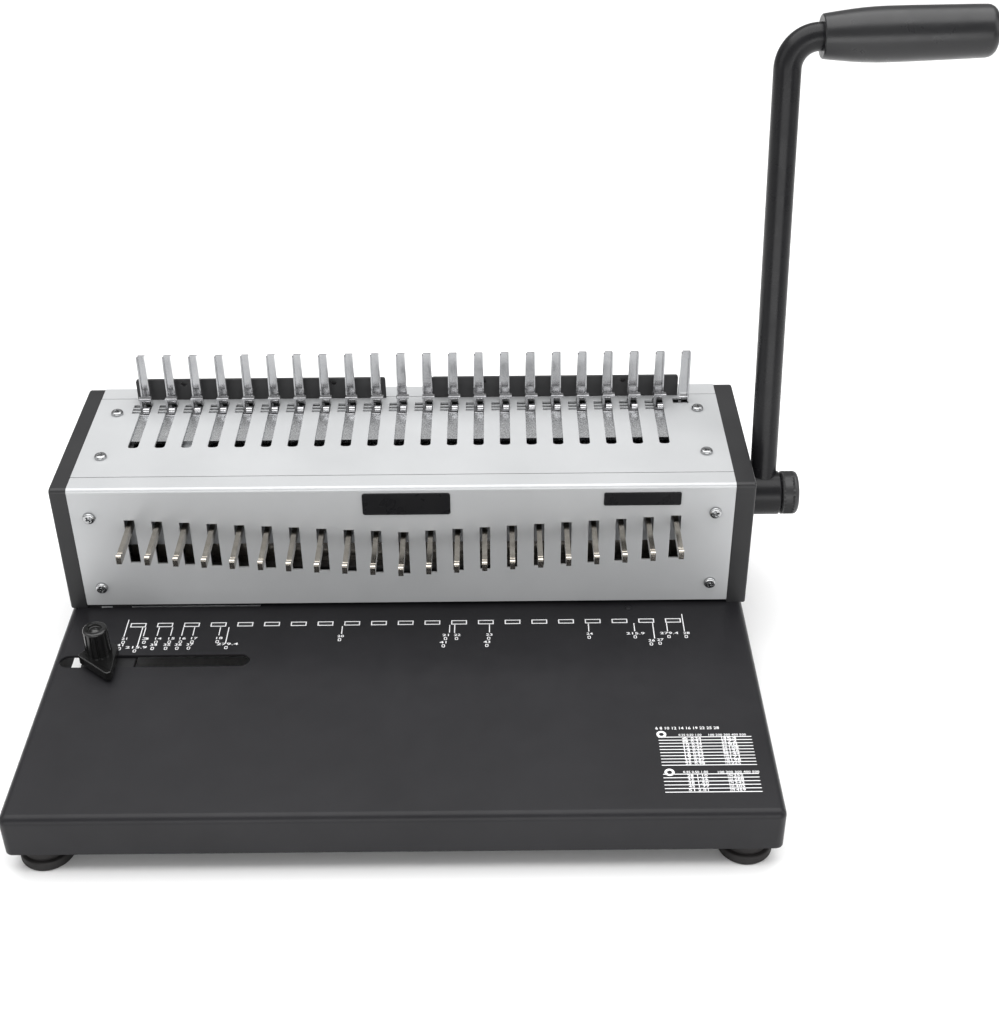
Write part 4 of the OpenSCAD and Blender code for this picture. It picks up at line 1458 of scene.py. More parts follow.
    def front_cover(self) -> None:
        """Folds the front cover and cuts the slots of the pulls."""
        front = DATUM.box("front_cover")[0].y
        cover = self.folded_sheet("front_sheet", "front_cover", -1)
        width, height, over = self.front_slot
        slots = []
        for number, x in enumerate(self.row.pins(), 1):
            top = DATUM.box(f"pin_pull_{number:02d}")[0].z + over
            low = (x - width / 2, front - 2.0, top - height)
            slots.append(Bench.block("cutter", low, (x + width / 2, front + 4.0, top)))
        Bench.cut(cover, slots)
        Bench.soften(cover, 0.22, 2, 50.0)
        Bench.smooth(cover, 40.0)
        Bench.finish(cover, self.wardrobe, Finish.SILVER, "machine", "front_cover")

    def rear_cover(self) -> None:
        """Folds the rear cover."""
        cover = self.folded_sheet("rear_sheet", "rear_cover", 1)
        Bench.soften(cover, 0.22, 2, 50.0)
        Bench.smooth(cover, 40.0)
        Bench.finish(cover, self.wardrobe, Finish.SILVER, "machine", "rear_cover")

    def top_slot_cutters(self, rear: float, low: float, high: float) -> list[bpy.types.Object]:
        """Makes the cutters of the comb slots with rounded front ends and their side windows.

        Args:
            rear: Rear end of the slots.
            low: Lower end of the cutters.
            high: Upper end of the cutters.

        Returns:
            The cutters.
        """
        width, length = self.top_slot
        front = rear - length
        slot = Bench.block("cutter", (-width / 2, front, low), (width / 2, front + length, high))
        Bench.round_edges(
            slot, 1.9, 6, lambda a, b: abs(a.z - b.z) > 1.0 and max(a.y, b.y) < front + NEAR
        )
        start = front + length - self.window_back
        side = Bench.block(
            "cutter",
            (-width / 2 - self.window[0], start, low),
            (-width / 2 + 0.5, start + self.window[1], high),
        )
        return Bench.row(Bench.join([slot, side], "cutter"), self.row.combs())

    def top_panel(self) -> None:
        """Cuts the top panel's slots, windows and notches, and leaves the windows' rungs."""
        low, high = DATUM.box("top_panel")
        under, over = low.z - 1.0, high.z + 1.0
        panel = Bench.block(
            "top_sheet",
            (low.x, low.y + self.seam[0], low.z),
            (high.x, high.y - self.seam[1], high.z),
        )
        rear = high.y - self.top_slot_end
        half = self.top_slot[0] / 2
        last = self.row.combs(1)[-1]
        slots = self.top_slot_cutters(rear, under, over)
        notches = [((last - half - 3.0, rear - 5.8), (last + half, rear))]
        notches += [((x0, high.y - 1.6), (x1, high.y + 1.0)) for x0, x1 in self.rests()]
        Bench.cut(panel, [Bench.block("cutter", (*a, under), (*b, over)) for a, b in notches])
        Bench.cut(panel, slots)
        Bench.soften(panel, 0.3, 3, 50.0)
        first, second = self.rungs
        start = rear - self.window_back + first
        rung = Bench.block(
            "rung",
            (-half - self.window[0] - 0.2, start, low.z),
            (-half + 0.1, start + self.rung_wide, high.z - 0.4),
        )
        rungs = Bench.row(rung, self.row.combs(), (0.0, second - first))
        panel = Bench.join([panel, *rungs], "top_sheet")
        Bench.smooth(panel, 40.0)
        Bench.finish(panel, self.wardrobe, Finish.SILVER, "machine", "top_panel")

    @staticmethod
    def rests() -> list[Pair]:
        """Gives the two comb rests' ends across the machine.

        Returns:
            Left and right end of each.
        """
        low, high = DATUM.box("comb_rests")
        return [(low.x - 6.8, -12.5), (13.2, high.x + 1.8)]

    def screw_head(self) -> bpy.types.Object:
        """Turns one pan head, its seat at zero, and presses a tapered cross into it.

        Returns:
            The head, pointing up from the drawing's zero.
        """
        radius, height = self.screw
        wall = height * 0.42
        dome = [(wall + y, radius - 1.25 + x) for x, y in arc(1.25, 0.0, 78.0, 6)]
        stations = [(-0.4, radius), (wall, radius), *dome[1:], (wall + 1.325, radius * 0.36)]
        head = Bench.turned("head", stations, (0.0, 0.0, 0.0), Turn.UP, 36)
        reach, bottom = radius * 0.62, height - 1.3
        arms = []
        for turn in (0.0, 90.0):
            arm = Bench.block("cutter", (-reach, -0.52, bottom), (reach, 0.52, height + 1.0))
            Bench.pick(arm, Pick.FACES, lambda middle, normal: normal.z < -0.9)
            bpy.ops.transform.resize(
                value=(0.45, 0.7, 1.0), center_override=DATUM.at(0.0, 0.0, bottom)
            )
            Bench.clear()
            Bench.place(arm, (0.0, 0.0, 0.0), [(turn, "Z")])
            arms.append(arm)
        for arm in arms:
            Bench.cut(head, [arm])
        Bench.soften(head, 0.07, 2, 50.0)
        return head

    def screws(self) -> None:
        """Fits the twelve cover screws, each at its own turn."""
        side, above = self.screw_x
        front = DATUM.box("front_cover")[0].y
        back = DATUM.box("rear_cover")[1].y
        top = DATUM.box("top_panel")[1].z
        hands = (-1, 1)
        places = [((s * side, front, z), Turn.FRONT) for s in hands for z in self.screw_z]
        places += [((s * side, back, z), Turn.BACK) for s in hands for z in self.screw_z]
        places += [((s * above, y, top), Turn.UP) for s in hands for y in self.screw_y]
        heads = Bench.row(self.screw_head(), [0.0] * len(places))
        for head, (spot, turn), spin in zip(heads, places, self.spins):
            Bench.place(head, spot, [(turn.value[0], "X"), (spin, "Z")])
        piece = Bench.join(heads, "screw_heads")
        Bench.smooth(piece, 32.0)
        Bench.finish(piece, self.wardrobe, Finish.ZINC, "machine", "cover_screws")

    def plate(self, name: str, edges: tuple[float, float, float, float], radius: float) -> None:
        """Fixes one bare black plate on the front cover.

        Args:
            name: Name of the plate.
            edges: Its left, right, lower and upper edge.
            radius: Radius of its corners.
        """
        front = DATUM.box("front_cover")[0].y
        left, right, low, high = edges
        plate = Bench.block(name, (left, front - 0.7, low), (right, front - 0.02, high))
        Bench.round_edges(
            plate,
            radius,
            5,
            lambda a, b: abs(a.y - b.y) > 0.3 and max(abs(a.x - b.x), abs(a.z - b.z)) < NEAR,
        )
        Bench.pick(plate, Pick.FACES, lambda middle, normal: normal.y < -0.9)
        bpy.ops.mesh.inset(thickness=0.55 * MM, depth=0.0)
        bpy.ops.mesh.inset(thickness=0.12 * MM, depth=-0.12 * MM)
        Bench.clear()
        Bench.soften(plate, 0.1, 2, 50.0)
        Bench.smooth(plate, 40.0)
        Bench.finish(plate, self.wardrobe, Finish.ENAMEL, "machine")

    def key(self) -> bpy.types.Object:
        """Cuts one pull: a flat key with a groove and a curled lip at its front end.

        Returns:
            The key in the first pull's place.
        """
        low, high = DATUM.box("pin_pull_01")
        top = high.z - self.lip_rise
        key = Bench.block("key", low, (high.x, high.y, top))
        Bench.round_edges(
            key, 0.8, 4, lambda a, b: max(a.y, b.y) < low.y + NEAR and max(a.z, b.z) < low.z + NEAR
        )
        Bench.pick(
            key, Pick.EDGES, lambda a, b: min(a.z, b.z) > top - NEAR and abs(a.y - b.y) > 5.0
        )
        bpy.ops.mesh.subdivide(number_cuts=1)
        Bench.clear()
        start, end = self.groove
        groove = Bench.block(
            "cutter",
            (low.x - 1.0, low.y + start, top - 0.35),
            (high.x + 1.0, low.y + end, top + 1.0),
        )
        Bench.round_edges(
            groove, 0.34, 3, lambda a, b: max(a.z, b.z) < top and abs(a.x - b.x) > 1.0
        )
        Bench.cut(key, [groove])
        roll = [(0.0, self.lip), (high.x - low.x, self.lip)]
        middle = (low.x, low.y + self.lip, high.z - self.lip)
        lip = Bench.turned("lip", roll, middle, Turn.RIGHT, 28)
        join = key.modifiers.new("lip", "BOOLEAN")
        join.operation, join.solver, join.object = "UNION", "EXACT", lip
        Bench.apply(key)
        bpy.data.objects.remove(lip)
        Bench.soften(key, 0.34, 3, 35.0)
        Bench.smooth(key, 40.0)
        return key

    def pulls(self) -> None:
        """Copies the key to every pull's place."""
        key = self.key()
        lowest = DATUM.box("pin_pull_01")[0].z
        places = self.row.pins()
        for number, x in enumerate(places, 1):
            node = f"pin_pull_{number:02d}"
            fall = DATUM.box(node)[0].z - lowest
            pull = Bench.twin(key, f"pull_{number:02d}", (x - places[0], 0.0, fall))
            Bench.finish(pull, self.wardrobe, Finish.NICKEL, node, node)
        bpy.data.objects.remove(key)

    def build(self) -> None:
        """Builds the head."""
        self.side_covers()
        self.front_cover()
        self.top_panel()
        self.rear_cover()
        self.screws()
        self.plate("name_plate", self.name_plate, 1.4)
        self.plate("model_plate", self.model_plate, 0.9)
        self.pulls()


@dataclass
class CombOpener:
    """Fixed tines, moving hooks and comb rests.

    Attributes:
        wardrobe: The finishes.
        row: Places of the holes.
        tine_z: Heights of a tine's channel, lower and upper end.
        tine_wide: Width of the channel at its foot.
        tine_tip: Width of the channel at its tip.
        tine_deep: Depth of the channel.
        tine_wall: Wall of the channel.
        flange_up: How far the right flange stands above the tip.
        corner_down: How far the tip's left corner lies below it.
        flange_back: How far the left flange is set back.
        foot: Left and right side of a tine's foot.
        foot_wall: Thickness of the foot.
        rest_wall: Thickness of a comb rest.
        rest_round: Radius of its upper corners.
        rest_hole: Radius of its holes.
        rest_drop: How far the holes lie below its upper edge.
        rest_spots: Distances of the holes from the two ends, left rest and right rest.
        nose: Radius and width of a hook's curled nose.
    """

    wardrobe: Wardrobe
    row: HoleRow
    tine_z: Pair = (77.4, 107.3)
    tine_wide: float = 5.8
    tine_tip: float = 5.1
    tine_deep: float = 4.2
    tine_wall: float = 0.744
    flange_up: float = 1.5
    corner_down: float = 0.8
    flange_back: float = 1.9
    foot: Pair = (-2.6, -0.9)
    foot_wall: float = 1.2
    rest_wall: float = 1.5
    rest_round: float = 1.5
    rest_hole: float = 1.5
    rest_drop: float = 2.6
    rest_spots: tuple[Pair, Pair] = ((26.8, 29.0), (29.0, 30.8))
    nose: Pair = (1.8, 3.3)

    def channel(self, front: float) -> bpy.types.Object:
        """Folds a tine's tapered channel, open to the front, with a window over its foot.

        Args:
            front: Front of the channel.

        Returns:
            The channel at the machine's middle.
        """
        bottom, top = self.tine_z
        half, tip = self.tine_wide / 2, self.tine_tip / 2
        rear = front + self.tine_deep
        channel = Bench.block("channel", (-half, front, bottom), (half, rear, top))
        Bench.pick(channel, Pick.VERTS, lambda spot: spot.z > top - NEAR)
        bpy.ops.transform.resize(
            value=(tip / half, 1.0, 1.0), center_override=DATUM.at(0.0, front, top)
        )
        Bench.clear()
        Bench.round_edges(
            channel, 0.9, 5, lambda a, b: abs(a.z - b.z) > 5.0 and min(a.y, b.y) > rear - NEAR
        )
        Bench.drop_faces(channel, lambda middle, normal: normal.y < -0.9 or abs(normal.z) > 0.9)
        Bench.shift(
            channel,
            (0.0, 0.0, self.flange_up),
            lambda spot: spot.z > top - NEAR and spot.y < front + NEAR and spot.x > 0.0,
        )
        Bench.shift(
            channel,
            (0.0, 0.0, -self.corner_down),
            lambda spot: spot.z > top - NEAR and spot.x < 0.5 - tip,
        )
        Bench.shift(
            channel,
            (0.0, self.flange_back, 0.0),
            lambda spot: spot.x < -1.0 and spot.y < front + NEAR,
        )
        Bench.thicken(channel, self.tine_wall)
        side = half - 1.1
        window = Bench.block(
            "cutter", (-side, front - 1.0, bottom + 0.2), (side, rear + 1.0, bottom + 3.9)
        )
        Bench.cut(channel, [window])
        Bench.soften(channel, 0.18, 2, 45.0)
        return channel

    def tine(self) -> bpy.types.Object:
        """Makes one tine: the channel, its foot and the step inside it.

        Returns:
            The tine at the machine's middle.
        """
        low = DATUM.box("fixed_tines")[0]
        bottom, half = self.tine_z[0], self.tine_wide / 2
        rear = low.y + self.tine_deep
        left, right = self.foot
        foot = Bench.block(
            "foot", (left, rear - self.foot_wall, low.z), (right, rear, bottom + 0.2)
        )
        step = Bench.block(
            "step",
            (-half + 0.2, low.y + 1.4, bottom + 1.4),
            (half - 0.2, rear - 0.2, bottom + 2.3),
        )
        Bench.soften(foot, 0.2, 2)
        Bench.soften(step, 0.3, 3)
        return Bench.join([self.channel(low.y), foot, step], "tine")

    def tines(self) -> None:
        """Copies the tine over the whole row."""
        piece = Bench.join(Bench.row(self.tine(), self.row.combs(1)), "tine_row")
        Bench.smooth(piece, 38.0)
        Bench.finish(piece, self.wardrobe, Finish.TINE, "machine", "fixed_tines")

    def comb_rest(self, left: float, right: float, spots: Pair) -> list[bpy.types.Object]:
        """Folds one comb rest: an upright with two small blind holes, and a shelf at its foot.

        Args:
            left: Its left end.
            right: Its right end.
            spots: Distances of the holes from the two ends.

        Returns:
            The upright and the shelf.
        """
        low, high = DATUM.box("comb_rests")
        behind = low.y + self.rest_wall
        rest = Bench.block("rest", (left, low.y, low.z + 0.4), (right, behind, high.z))
        Bench.round_edges(
            rest,
            self.rest_round,
            5,
            lambda a, b: abs(a.y - b.y) > 1.0 and min(a.z, b.z) > high.z - NEAR,
        )
        places = (left + spots[0], right - spots[1])
        bore, middle = [(0.0, self.rest_hole), (3.6, self.rest_hole)], high.z - self.rest_drop
        holes = [
            Bench.turned("cutter", bore, (x, low.y - 2.0, middle), Turn.BACK, 24) for x in places
        ]
        backs = [
            Bench.block(
                "back",
                (x - 2.4, behind - 0.05, high.z - 5.4),
                (x + 2.4, behind + 0.6, high.z - 0.9),
            )
            for x in places
        ]
        rest = Bench.join([rest, *backs], "rest")
        Bench.cut(rest, holes)
        shelf = Bench.block("shelf", (left, low.y, low.z), (right, high.y, low.z + 1.5))
        Bench.soften(rest, 0.18, 2, 50.0)
        Bench.soften(shelf, 0.18, 2, 50.0)
        return [rest, shelf]

    def comb_rests(self) -> None:
        """Makes the two black rests behind the tines."""
        rests = []
        for (left, right), spots in zip(PunchHead.rests(), self.rest_spots):
            rests += self.comb_rest(left, right, spots)
        piece = Bench.join(rests, "rests")
        Bench.smooth(piece, 40.0)
        Bench.finish(piece, self.wardrobe, Finish.BLACKED, "machine", "comb_rests")

    def hook(self) -> bpy.types.Object:
        """Folds one hook: a leg, a top bar reaching over the comb, a curled nose and its foot.

        Returns:
            The hook at the machine's middle.
        """
        low, high = DATUM.box("opener_hooks")
        base, top, rear = low.z, high.z, high.y
        leg = Bench.block("leg", (-2.7, rear - 2.4, base), (-1.3, rear, top - 0.6))
        bar = Bench.block("bar", (-3.1, rear - 3.0, top - 1.5), (4.1, rear, top))
        Bench.round_edges(
            bar,
            1.0,
            5,
            lambda a, b: abs(a.y - b.y) > 1.0
            and min(a.z, b.z) > top - NEAR
            and max(a.x, b.x) < -3.0,
        )
        radius, width = self.nose
        roll = [(0.0, radius), (width, radius)]
        nose = Bench.turned("nose", roll, (-0.8, rear - 3.6, base + 2.3), Turn.RIGHT, 30)
        foot = Bench.block("foot", (-2.7, rear - 6.2, base), (2.6, rear - 0.8, base + 0.8))
        pieces = [leg, bar, nose, foot]
        for piece in pieces:
            Bench.soften(piece, 0.25, 2, 40.0)
        return Bench.join(pieces, "hook")

    def hooks(self) -> None:
        """Copies the hook over the whole row."""
        piece = Bench.join(Bench.row(self.hook(), self.row.combs()), "hook_row")
        Bench.smooth(piece, 38.0)
        Bench.finish(piece, self.wardrobe, Finish.HOOK, "opener", "opener_hooks")

    def build(self) -> None:
        """Builds the opener."""
        self.tines()
        self.comb_rests()
        self.hooks()


@dataclass
class Handle:
    """Hub, bent rod, grip and clamp knob.

    Attributes:
        wardrobe: The finishes.
        shaft: Place of the cross shaft.
        lean: How far the arm leans back, degrees.
        tilt: How far the arm tilts to the right, degrees.
        rise: How far the grip rises to the right, degrees.
        arm: Distance from the shaft to the grip's axis.
        bend: Radius of the rod's bend.
        rod: Radius of the rod.
        run: Length of the rod inside the grip.
        grip: Distances along the grip and its radii.
        bore: Depth of the grip's bore for the rod.
        short: How much shorter the hub is than its solid.
        knob_gap: Distance from the hub to the clamp knob.
        knob_end: How far the knob's end stays behind its solid's.
        knurls: Raised points round the knob.
        bands: Rings of points along the knob.
        knurl_deep: Depth of the knurl.
        rim: Radius of the knob's rounded rim.
    """

    wardrobe: Wardrobe
    shaft: Pair = SHAFT
    lean: float = 13.8
    tilt: float = 0.35
    rise: float = 1.35
    arm: float = 238.6
    bend: float = 15.5
    rod: float = 7.0
    run: float = 60.0
    grip: tuple[Pair, ...] = (
        (0.0, 9.4), (0.0, 10.2), (0.5, 10.75), (1.5, 10.95), (7.0, 11.65), (14.0, 12.45),
        (20.0, 13.0), (26.0, 13.3), (32.0, 13.42), (44.0, 13.36), (60.0, 13.12), (76.0, 12.86),
        (80.6, 12.74), (82.2, 12.45), (83.5, 11.8), (84.5, 10.8), (85.1, 9.6), (85.4, 8.0),
        (85.5, 5.0),
    )
    bore: float = 58.0
    short: float = 1.5
    knob_gap: float = 0.4
    knob_end: float = 1.4
    knurls: int = 30
    bands: int = 6
    knurl_deep: float = 1.05
    rim: float = 2.3

    def along(self, piece: bpy.types.Object, x: float) -> None:
        """Turns a piece made at the drawing's zero to the leaning arm.

        Args:
            piece: The piece.
            x: Where the arm stands across the machine.
        """
        Bench.place(piece, (x, *self.shaft), [(-self.lean, "X"), (self.tilt, "Y")])

    def rod_piece(self, x: float) -> bpy.types.Object:
        """Bends the rod: a straight run, a quarter turn and the run into the grip.

        Args:
            x: Where the rod stands across the machine.

        Returns:
            The rod.
        """
        low, high = DATUM.box("handle_hub")
        start = (high.z - low.z) / 2 - 2.5
        Bench.clear()
        bpy.ops.mesh.primitive_circle_add(
            vertices=40, radius=self.rod * MM, fill_type="NGON", location=DATUM.at(0.0, 0.0, start)
        )
        rod = bpy.context.object
        Bench.settle(rod, "bent_rod")
        Bench.take(rod)
        bpy.ops.object.mode_set(mode="EDIT")
        bpy.ops.mesh.select_mode(type="FACE")
        bpy.ops.mesh.select_all(action="SELECT")
        Bench.extrude(0.0, 0.0, self.arm - self.bend - start)
        climb = math.radians(self.rise + self.tilt)
        bpy.ops.mesh.spin(
            steps=20,
            angle=climb - math.pi / 2,
            center=DATUM.at(self.bend, 0.0, self.arm - self.bend),
            axis=(0.0, 1.0, 0.0),
        )
        Bench.extrude(self.run * math.cos(climb), 0.0, self.run * math.sin(climb))
        Bench.clear()
        Bench.face_out(rod)
        self.along(rod, x)
        return rod

    def grip_piece(self, x: float) -> bpy.types.Object:
        """Turns the grip with its ringed neck and rounded end.

        Args:
            x: Where the rod stands across the machine.

        Returns:
            The grip.
        """
        end = (self.bend, 0.0, self.arm)
        grip = Bench.turned("grip_sleeve", self.grip, (end[0] + 0.5, *end[1:]), Turn.RIGHT, 72)
        tight = self.rod + 0.05
        mouth = [(0.0, tight + 0.7), (1.0, tight), (self.bore, tight)]
        bore = Bench.turned("cutter", mouth, (end[0] - 0.5, *end[1:]), Turn.RIGHT, 40)
        Bench.cut(grip, [bore])
        Bench.place(grip, end, [(-self.rise - self.tilt, "Y")], end)
        self.along(grip, x)
        return grip

    def hub_piece(self) -> bpy.types.Object:
        """Turns the hub with chamfered ends and a narrow collar.

        Returns:
            The hub.
        """
        low, high = DATUM.box("handle_hub")
        radius, length = (high.z - low.z) / 2, high.x - low.x - self.short
        stations = [
            (0.0, radius - 2.4), (0.5, radius - 2.4), (0.5, radius - 1.0), (1.5, radius),
            (length - 1.0, radius), (length, radius - 1.0),
        ]
        hub = Bench.turned("hub", stations, (low.x, *self.shaft), Turn.RIGHT, 64)
        Bench.soften(hub, 0.25, 3, 30.0)
        return hub

    def knob_piece(self) -> bpy.types.Object:
        """Turns the clamp knob and presses its cross knurl.

        Returns:
            The knob.
        """
        low, high = DATUM.box("clamp_knob")
        start = DATUM.box("handle_hub")[1].x - self.short + self.knob_gap
        radius, length = (high.z - low.z) / 2, high.x - self.knob_end - start
        edge = 0.5
        pitch = (length - 3.0) / self.bands
        rings = [(edge + pitch * k, radius) for k in range(self.bands + 1)]
        rim = [
            (length - self.rim + y, radius - self.rim + x) for x, y in arc(self.rim, 0.0, 90.0, 6)
        ]
        sunk = length - 0.9
        stations = [(0.0, radius - edge), *rings, *rim[1:]]
        stations += [(length, radius - 4.8), (sunk, radius - 5.4), (sunk, 1.2)]
        knob = Bench.turned("clamp", stations, (start, *self.shaft), Turn.RIGHT, self.knurls * 2)
        y0, z0 = self.shaft

        def dent(spot: Vector) -> bool:
            """Tells a vertex between two points of the cross knurl.

            Args:
                spot: The vertex.

            Returns:
                Whether it is pressed in.
            """
            reach = math.hypot(spot.y - y0, spot.z - z0)
            slot = round(math.degrees(math.atan2(spot.z - z0, spot.y - y0)) / (180.0 / self.knurls))
            ring = round((spot.x - start - edge) / pitch)
            return reach > radius - 0.1 and 0 < ring < self.bands and (slot + ring) % 2 == 0

        Bench.pick(knob, Pick.VERTS, dent)
        squeeze = (radius - self.knurl_deep) / radius
        bpy.ops.transform.resize(
            value=(1.0, squeeze, squeeze), center_override=DATUM.at(start, y0, z0)
        )
        Bench.clear()
        return knob

    def build(self) -> None:
        """Builds the handle."""
        low, high = DATUM.box("handle_hub")
        x = (low.x + 0.5 + high.x) / 2
        for piece, angle, finish, body, node in (
            (self.rod_piece(x), 32.0, Finish.ENAMEL, "handle", "handle_rod"),
            (self.hub_piece(), 32.0, Finish.ENAMEL, "handle", "handle_hub"),
            (self.grip_piece(x), 32.0, Finish.GRIP, "handle", "handle_grip"),
            (self.knob_piece(), 24.0, Finish.BLACKED, "clamp_knob", "clamp_knob"),
        ):
            Bench.smooth(piece, angle)
            Bench.finish(piece, self.wardrobe, finish, body, node)


@dataclass
class MarginGuide:
    """Fluted knob with its washer and triangular pointer.

    Attributes:
        wardrobe: The finishes.
        axis: Place of the knob's axis on the table.
        foot: Gap under the washer.
        radius: Radius of the knob.
        height: Height of the knob.
        flutes: Flutes round the knob.
        washer: Thickness of the washer.
        pointer: Thickness of the pointer.
        reach: The pointer's corners: distance from the axis, direction in degrees, radius.
    """

    wardrobe: Wardrobe
    axis: Pair = (-156.85, 113.2)
    foot: float = 0.3
    radius: float = 6.7
    height: float = 15.6
    flutes: int = 14
    washer: float = 1.3
    pointer: float = 4.8
    reach: tuple[Point, ...] = (
        (18.7, -64.0, 2.0), (10.4, 38.0, 2.0), (10.4, -166.0, 2.0), (7.1, 0.0, 7.1),
    )

    def corners(self) -> list[tuple[Vector, float]]:
        """Gives the middle on the table and the radius of each of the pointer's corners.

        Returns:
            The corners.
        """
        found = []
        for reach, turn, radius in self.reach:
            side = math.radians(turn)
            way = Vector((math.cos(side), math.sin(side)))
            found.append((Vector(self.axis) + way * (reach - radius), radius))
        return found

    def pointer_piece(self) -> bpy.types.Object:
        """Spans the pointer over round posts at its corners and softens its upper edge.

        Returns:
            The pointer.
        """
        low = self.foot + self.washer
        top = low + self.pointer
        posts = [
            Bench.turned(
                "post", [(0.0, radius), (self.pointer, radius)], (*middle, low), Turn.UP, 40
            )
            for middle, radius in self.corners()
        ]
        piece = Bench.join(posts, "pointer")
        Bench.take(piece)
        bpy.ops.object.mode_set(mode="EDIT")
        bpy.ops.mesh.select_all(action="SELECT")
        bpy.ops.mesh.convex_hull(delete_unused=True, use_existing_faces=False)
        bpy.ops.mesh.select_all(action="SELECT")
        bpy.ops.mesh.dissolve_limited(angle_limit=math.radians(1.0))
        Bench.clear()
        Bench.pick(piece, Pick.FACES, lambda middle, normal: normal.z > 0.9)
        bpy.ops.mesh.inset(thickness=0.5 * MM, depth=0.0)
        Bench.clear()
        Bench.round_edges(
            piece,
            0.45,
            4,
            lambda a, b: min(a.z, b.z) > top - NEAR
            and max(self.edge_reach(a), self.edge_reach(b)) > -0.05,
        )
        wide = self.radius + 0.4
        stations = [(0.0, self.radius), (0.2, wide), (self.washer, wide)]
        washer = Bench.turned("washer", stations, (*self.axis, self.foot), Turn.UP, 48)
        return Bench.join([piece, washer], "pointer")

    def edge_reach(self, spot: Vector) -> float:
        """Tells how far a point lies outside the pointer's rim; zero is on it.

        Args:
            spot: The point.

        Returns:
            The distance in millimetres, negative inside.
        """
        corners = self.corners()
        gaps = []
        for degrees in range(0, 360, 3):
            side = math.radians(degrees)
            way = Vector((math.cos(side), math.sin(side)))
            limit = max(middle.dot(way) + radius for middle, radius in corners)
            gaps.append(spot.xy.dot(way) - limit)
        return max(gaps)

    def knob_piece(self) -> bpy.types.Object:
        """Turns the knob and presses its flutes and sunk top.

        Returns:
            The knob.
        """
        x, y = self.axis
        base = self.foot + self.washer + self.pointer
        rim = self.radius - 0.45
        sides = self.flutes * 6
        top = self.height
        stations = [(0.0, self.radius + 0.2), (0.8, self.radius), (top - 1.9, rim)]
        stations += [(top - 1.1 + py, rim - 1.1 + px) for px, py in arc(1.1, 0.0, 90.0, 5)]
        stations += [
            (top, 3.75), (top - 0.25, 3.5), (top - 1.3, 3.35), (top - 1.45, 3.1), (top - 1.45, 2.5),
            (top - 1.0, 1.9), (top - 0.7, 1.1), (top - 0.65, 0.35),
        ]
        knob = Bench.turned("fluted_knob", stations, (x, y, base), Turn.UP, sides)

        def valley(spot: Vector) -> bool:
            """Tells a vertex of the fluted wall that lies in a flute.

            Args:
                spot: The vertex.

            Returns:
                Whether it is pressed in.
            """
            reach = math.hypot(spot.x - x, spot.y - y)
            slot = round(math.degrees(math.atan2(spot.y - y, spot.x - x)) / (360.0 / sides)) % 6
            return reach > rim - 0.5 and slot in (0, 1) and spot.z < base + top - 1.5

        Bench.pick(knob, Pick.VERTS, valley)
        bpy.ops.transform.resize(value=(0.9, 0.9, 1.0), center_override=DATUM.at(x, y, base))
        Bench.clear()
        return knob

    def build(self) -> None:
        """Builds the guide's knob."""
        low = DATUM.box("guide_knob")[0].z
        stations = [(0.0, 2.0), (0.4, 2.5), (self.foot - low + 0.5, 2.5)]
        stud = Bench.turned("stud", stations, (*self.axis, low), Turn.UP, 28)
        piece = Bench.join([self.pointer_piece(), self.knob_piece(), stud], "guide_knob_piece")
        Bench.smooth(piece, 30.0)
        Bench.finish(piece, self.wardrobe, Finish.GLOSS, "guide_knob", "guide_knob")


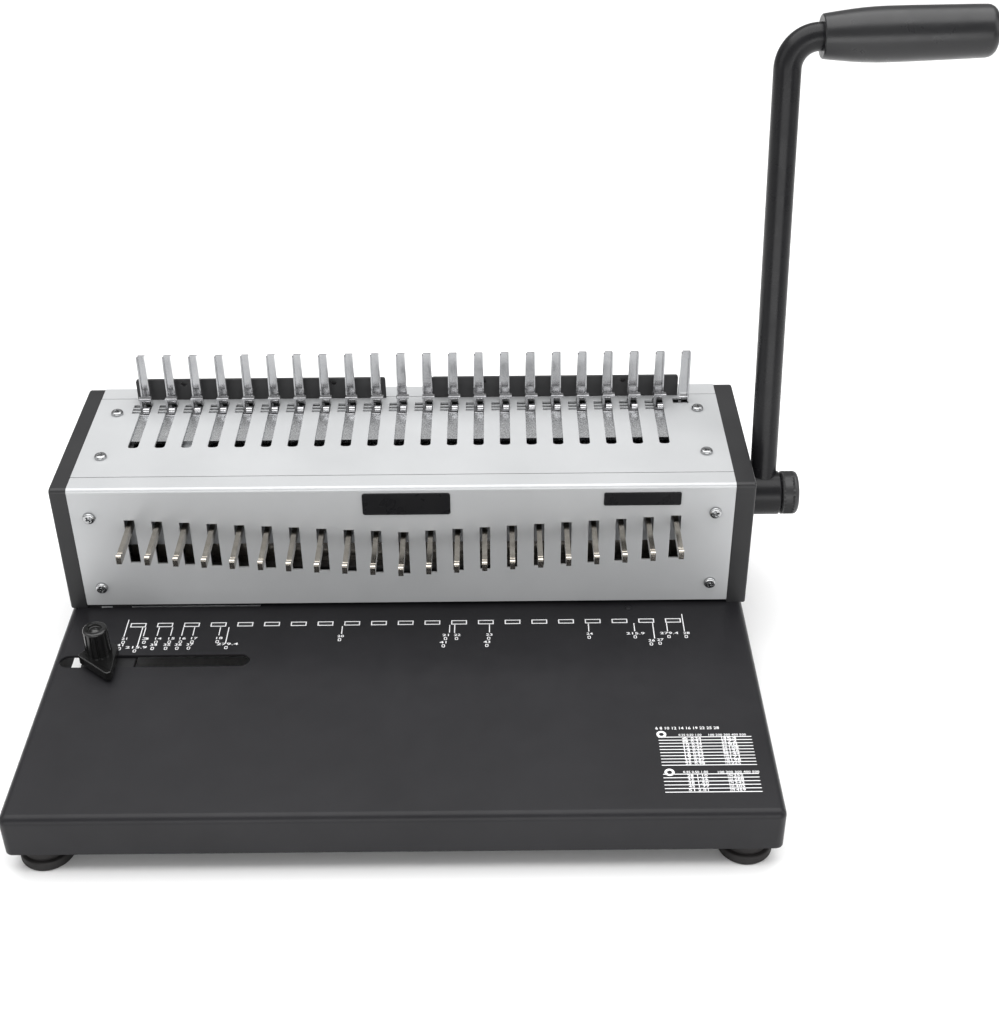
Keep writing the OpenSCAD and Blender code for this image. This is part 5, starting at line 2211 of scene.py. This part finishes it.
@dataclass
class Studio:
    """Floor, lights and camera.

    Attributes:
        eye: Place of the camera.
        pitch: How far it looks down, degrees.
        yaw: How far it is turned to the right, degrees.
        roll: How far it is rolled, degrees.
        focal: Focal length as a share of the image's long side.
        sensor: Long side of the camera's sensor, millimetres.
        lamps: Soft boxes: name, place and aim in metres, width and height in metres, watts.
    """

    eye: Point = (50.57, -510.58, 518.93)
    pitch: float = 34.41
    yaw: float = 0.01
    roll: float = -0.51
    focal: float = 1556.93 / 1024.0
    sensor: float = 36.0
    lamps: tuple[tuple[str, Point, Point, Pair, float], ...] = (
        ("overhead", (0.0, 0.2, 1.7), (0.0, 0.0, 0.0), (2.6, 2.0), 54.0),
        ("left_box", (-1.5, -0.3, 0.9), (0.0, 0.0, 0.1), (1.0, 1.2), 4.0),
        ("right_box", (1.5, -0.3, 0.9), (0.0, 0.0, 0.1), (1.0, 1.2), 6.0),
        ("front_box", (0.0, -1.6, 0.3), (0.0, 0.0, 0.05), (2.0, 0.6), 12.5),
    )

    def camera(self) -> None:
        """Places the camera at the viewing angle."""
        data = bpy.data.cameras.new("camera")
        data.sensor_width = self.sensor
        data.lens = self.focal * self.sensor
        data.clip_start, data.clip_end = 0.01, 50.0
        lens = bpy.data.objects.new("camera", data)
        bpy.context.scene.collection.objects.link(lens)
        turn = (
            Matrix.Rotation(math.radians(-self.yaw), 4, "Z")
            @ Matrix.Rotation(math.radians(90.0 - self.pitch), 4, "X")
            @ Matrix.Rotation(math.radians(self.roll), 4, "Z")
        )
        lens.matrix_world = Matrix.Translation(DATUM.at(*self.eye)) @ turn
        bpy.context.scene.camera = lens

    def lamp(self, name: str, at: Point, aim: Point, size: Pair, watts: float) -> None:
        """Adds one soft box.

        Args:
            name: Name of the lamp.
            at: Its place in metres, model frame.
            aim: The point it faces, metres.
            size: Width and height in metres.
            watts: Power.
        """
        data = bpy.data.lights.new(name, "AREA")
        data.shape, data.size, data.size_y = "RECTANGLE", size[0], size[1]
        data.energy = watts
        lamp = bpy.data.objects.new(name, data)
        bpy.context.scene.collection.objects.link(lamp)
        lamp.location = at
        lamp.rotation_euler = (Vector(aim) - Vector(at)).to_track_quat("-Z", "Y").to_euler()

    def room(self) -> None:
        """Makes the world, which lights softly and looks white, and the pale floor."""
        world = bpy.data.worlds.new("studio")
        world.use_nodes = True
        bpy.context.scene.world = world
        tree = world.node_tree
        back = tree.nodes["Background"]
        seen = tree.nodes.new("ShaderNodeBackground")
        for sky, strength in ((back, 0.4), (seen, 1.0)):
            sky.inputs["Color"].default_value = (1.0, 1.0, 1.0, 1.0)
            sky.inputs["Strength"].default_value = strength
        path = tree.nodes.new("ShaderNodeLightPath")
        mix = tree.nodes.new("ShaderNodeMixShader")
        tree.links.new(path.outputs["Is Camera Ray"], mix.inputs["Fac"])
        tree.links.new(back.outputs["Background"], mix.inputs[1])
        tree.links.new(seen.outputs["Background"], mix.inputs[2])
        tree.links.new(mix.outputs["Shader"], tree.nodes["World Output"].inputs["Surface"])
        bpy.ops.object.select_all(action="DESELECT")
        bpy.ops.mesh.primitive_plane_add(size=8.0, location=(0.0, 0.0, 0.0))
        floor = bpy.context.object
        floor.name = "floor"
        shader = Shader("pale floor")
        shader.set(Roughness=0.9, Specular_IOR_Level=0.1)
        cloud = shader.noise(400.0)
        shader.link(shader.tint(cloud, (0.90, 0.90, 0.90), (0.93, 0.93, 0.93)), "Base Color")
        floor.data.materials.append(shader.material)

    def build(self) -> None:
        """Sets up the whole studio."""
        self.room()
        for lamp in self.lamps:
            self.lamp(*lamp)
        self.camera()
        bpy.context.scene.view_settings.view_transform = "Standard"


def main() -> None:
    """Builds the looks of the whole machine in order."""
    logging.basicConfig(level=logging.INFO, format="%(name)s: %(message)s")
    wardrobe = Wardrobe()
    row = HoleRow()
    wardrobe.dress_frame()
    BaseTable(wardrobe).build()
    Markings(wardrobe, row).build()
    PunchHead(wardrobe, row).build()
    CombOpener(wardrobe, row).build()
    Handle(wardrobe).build()
    MarginGuide(wardrobe).build()
    Studio().build()


if __name__ == "__main__":
    main()
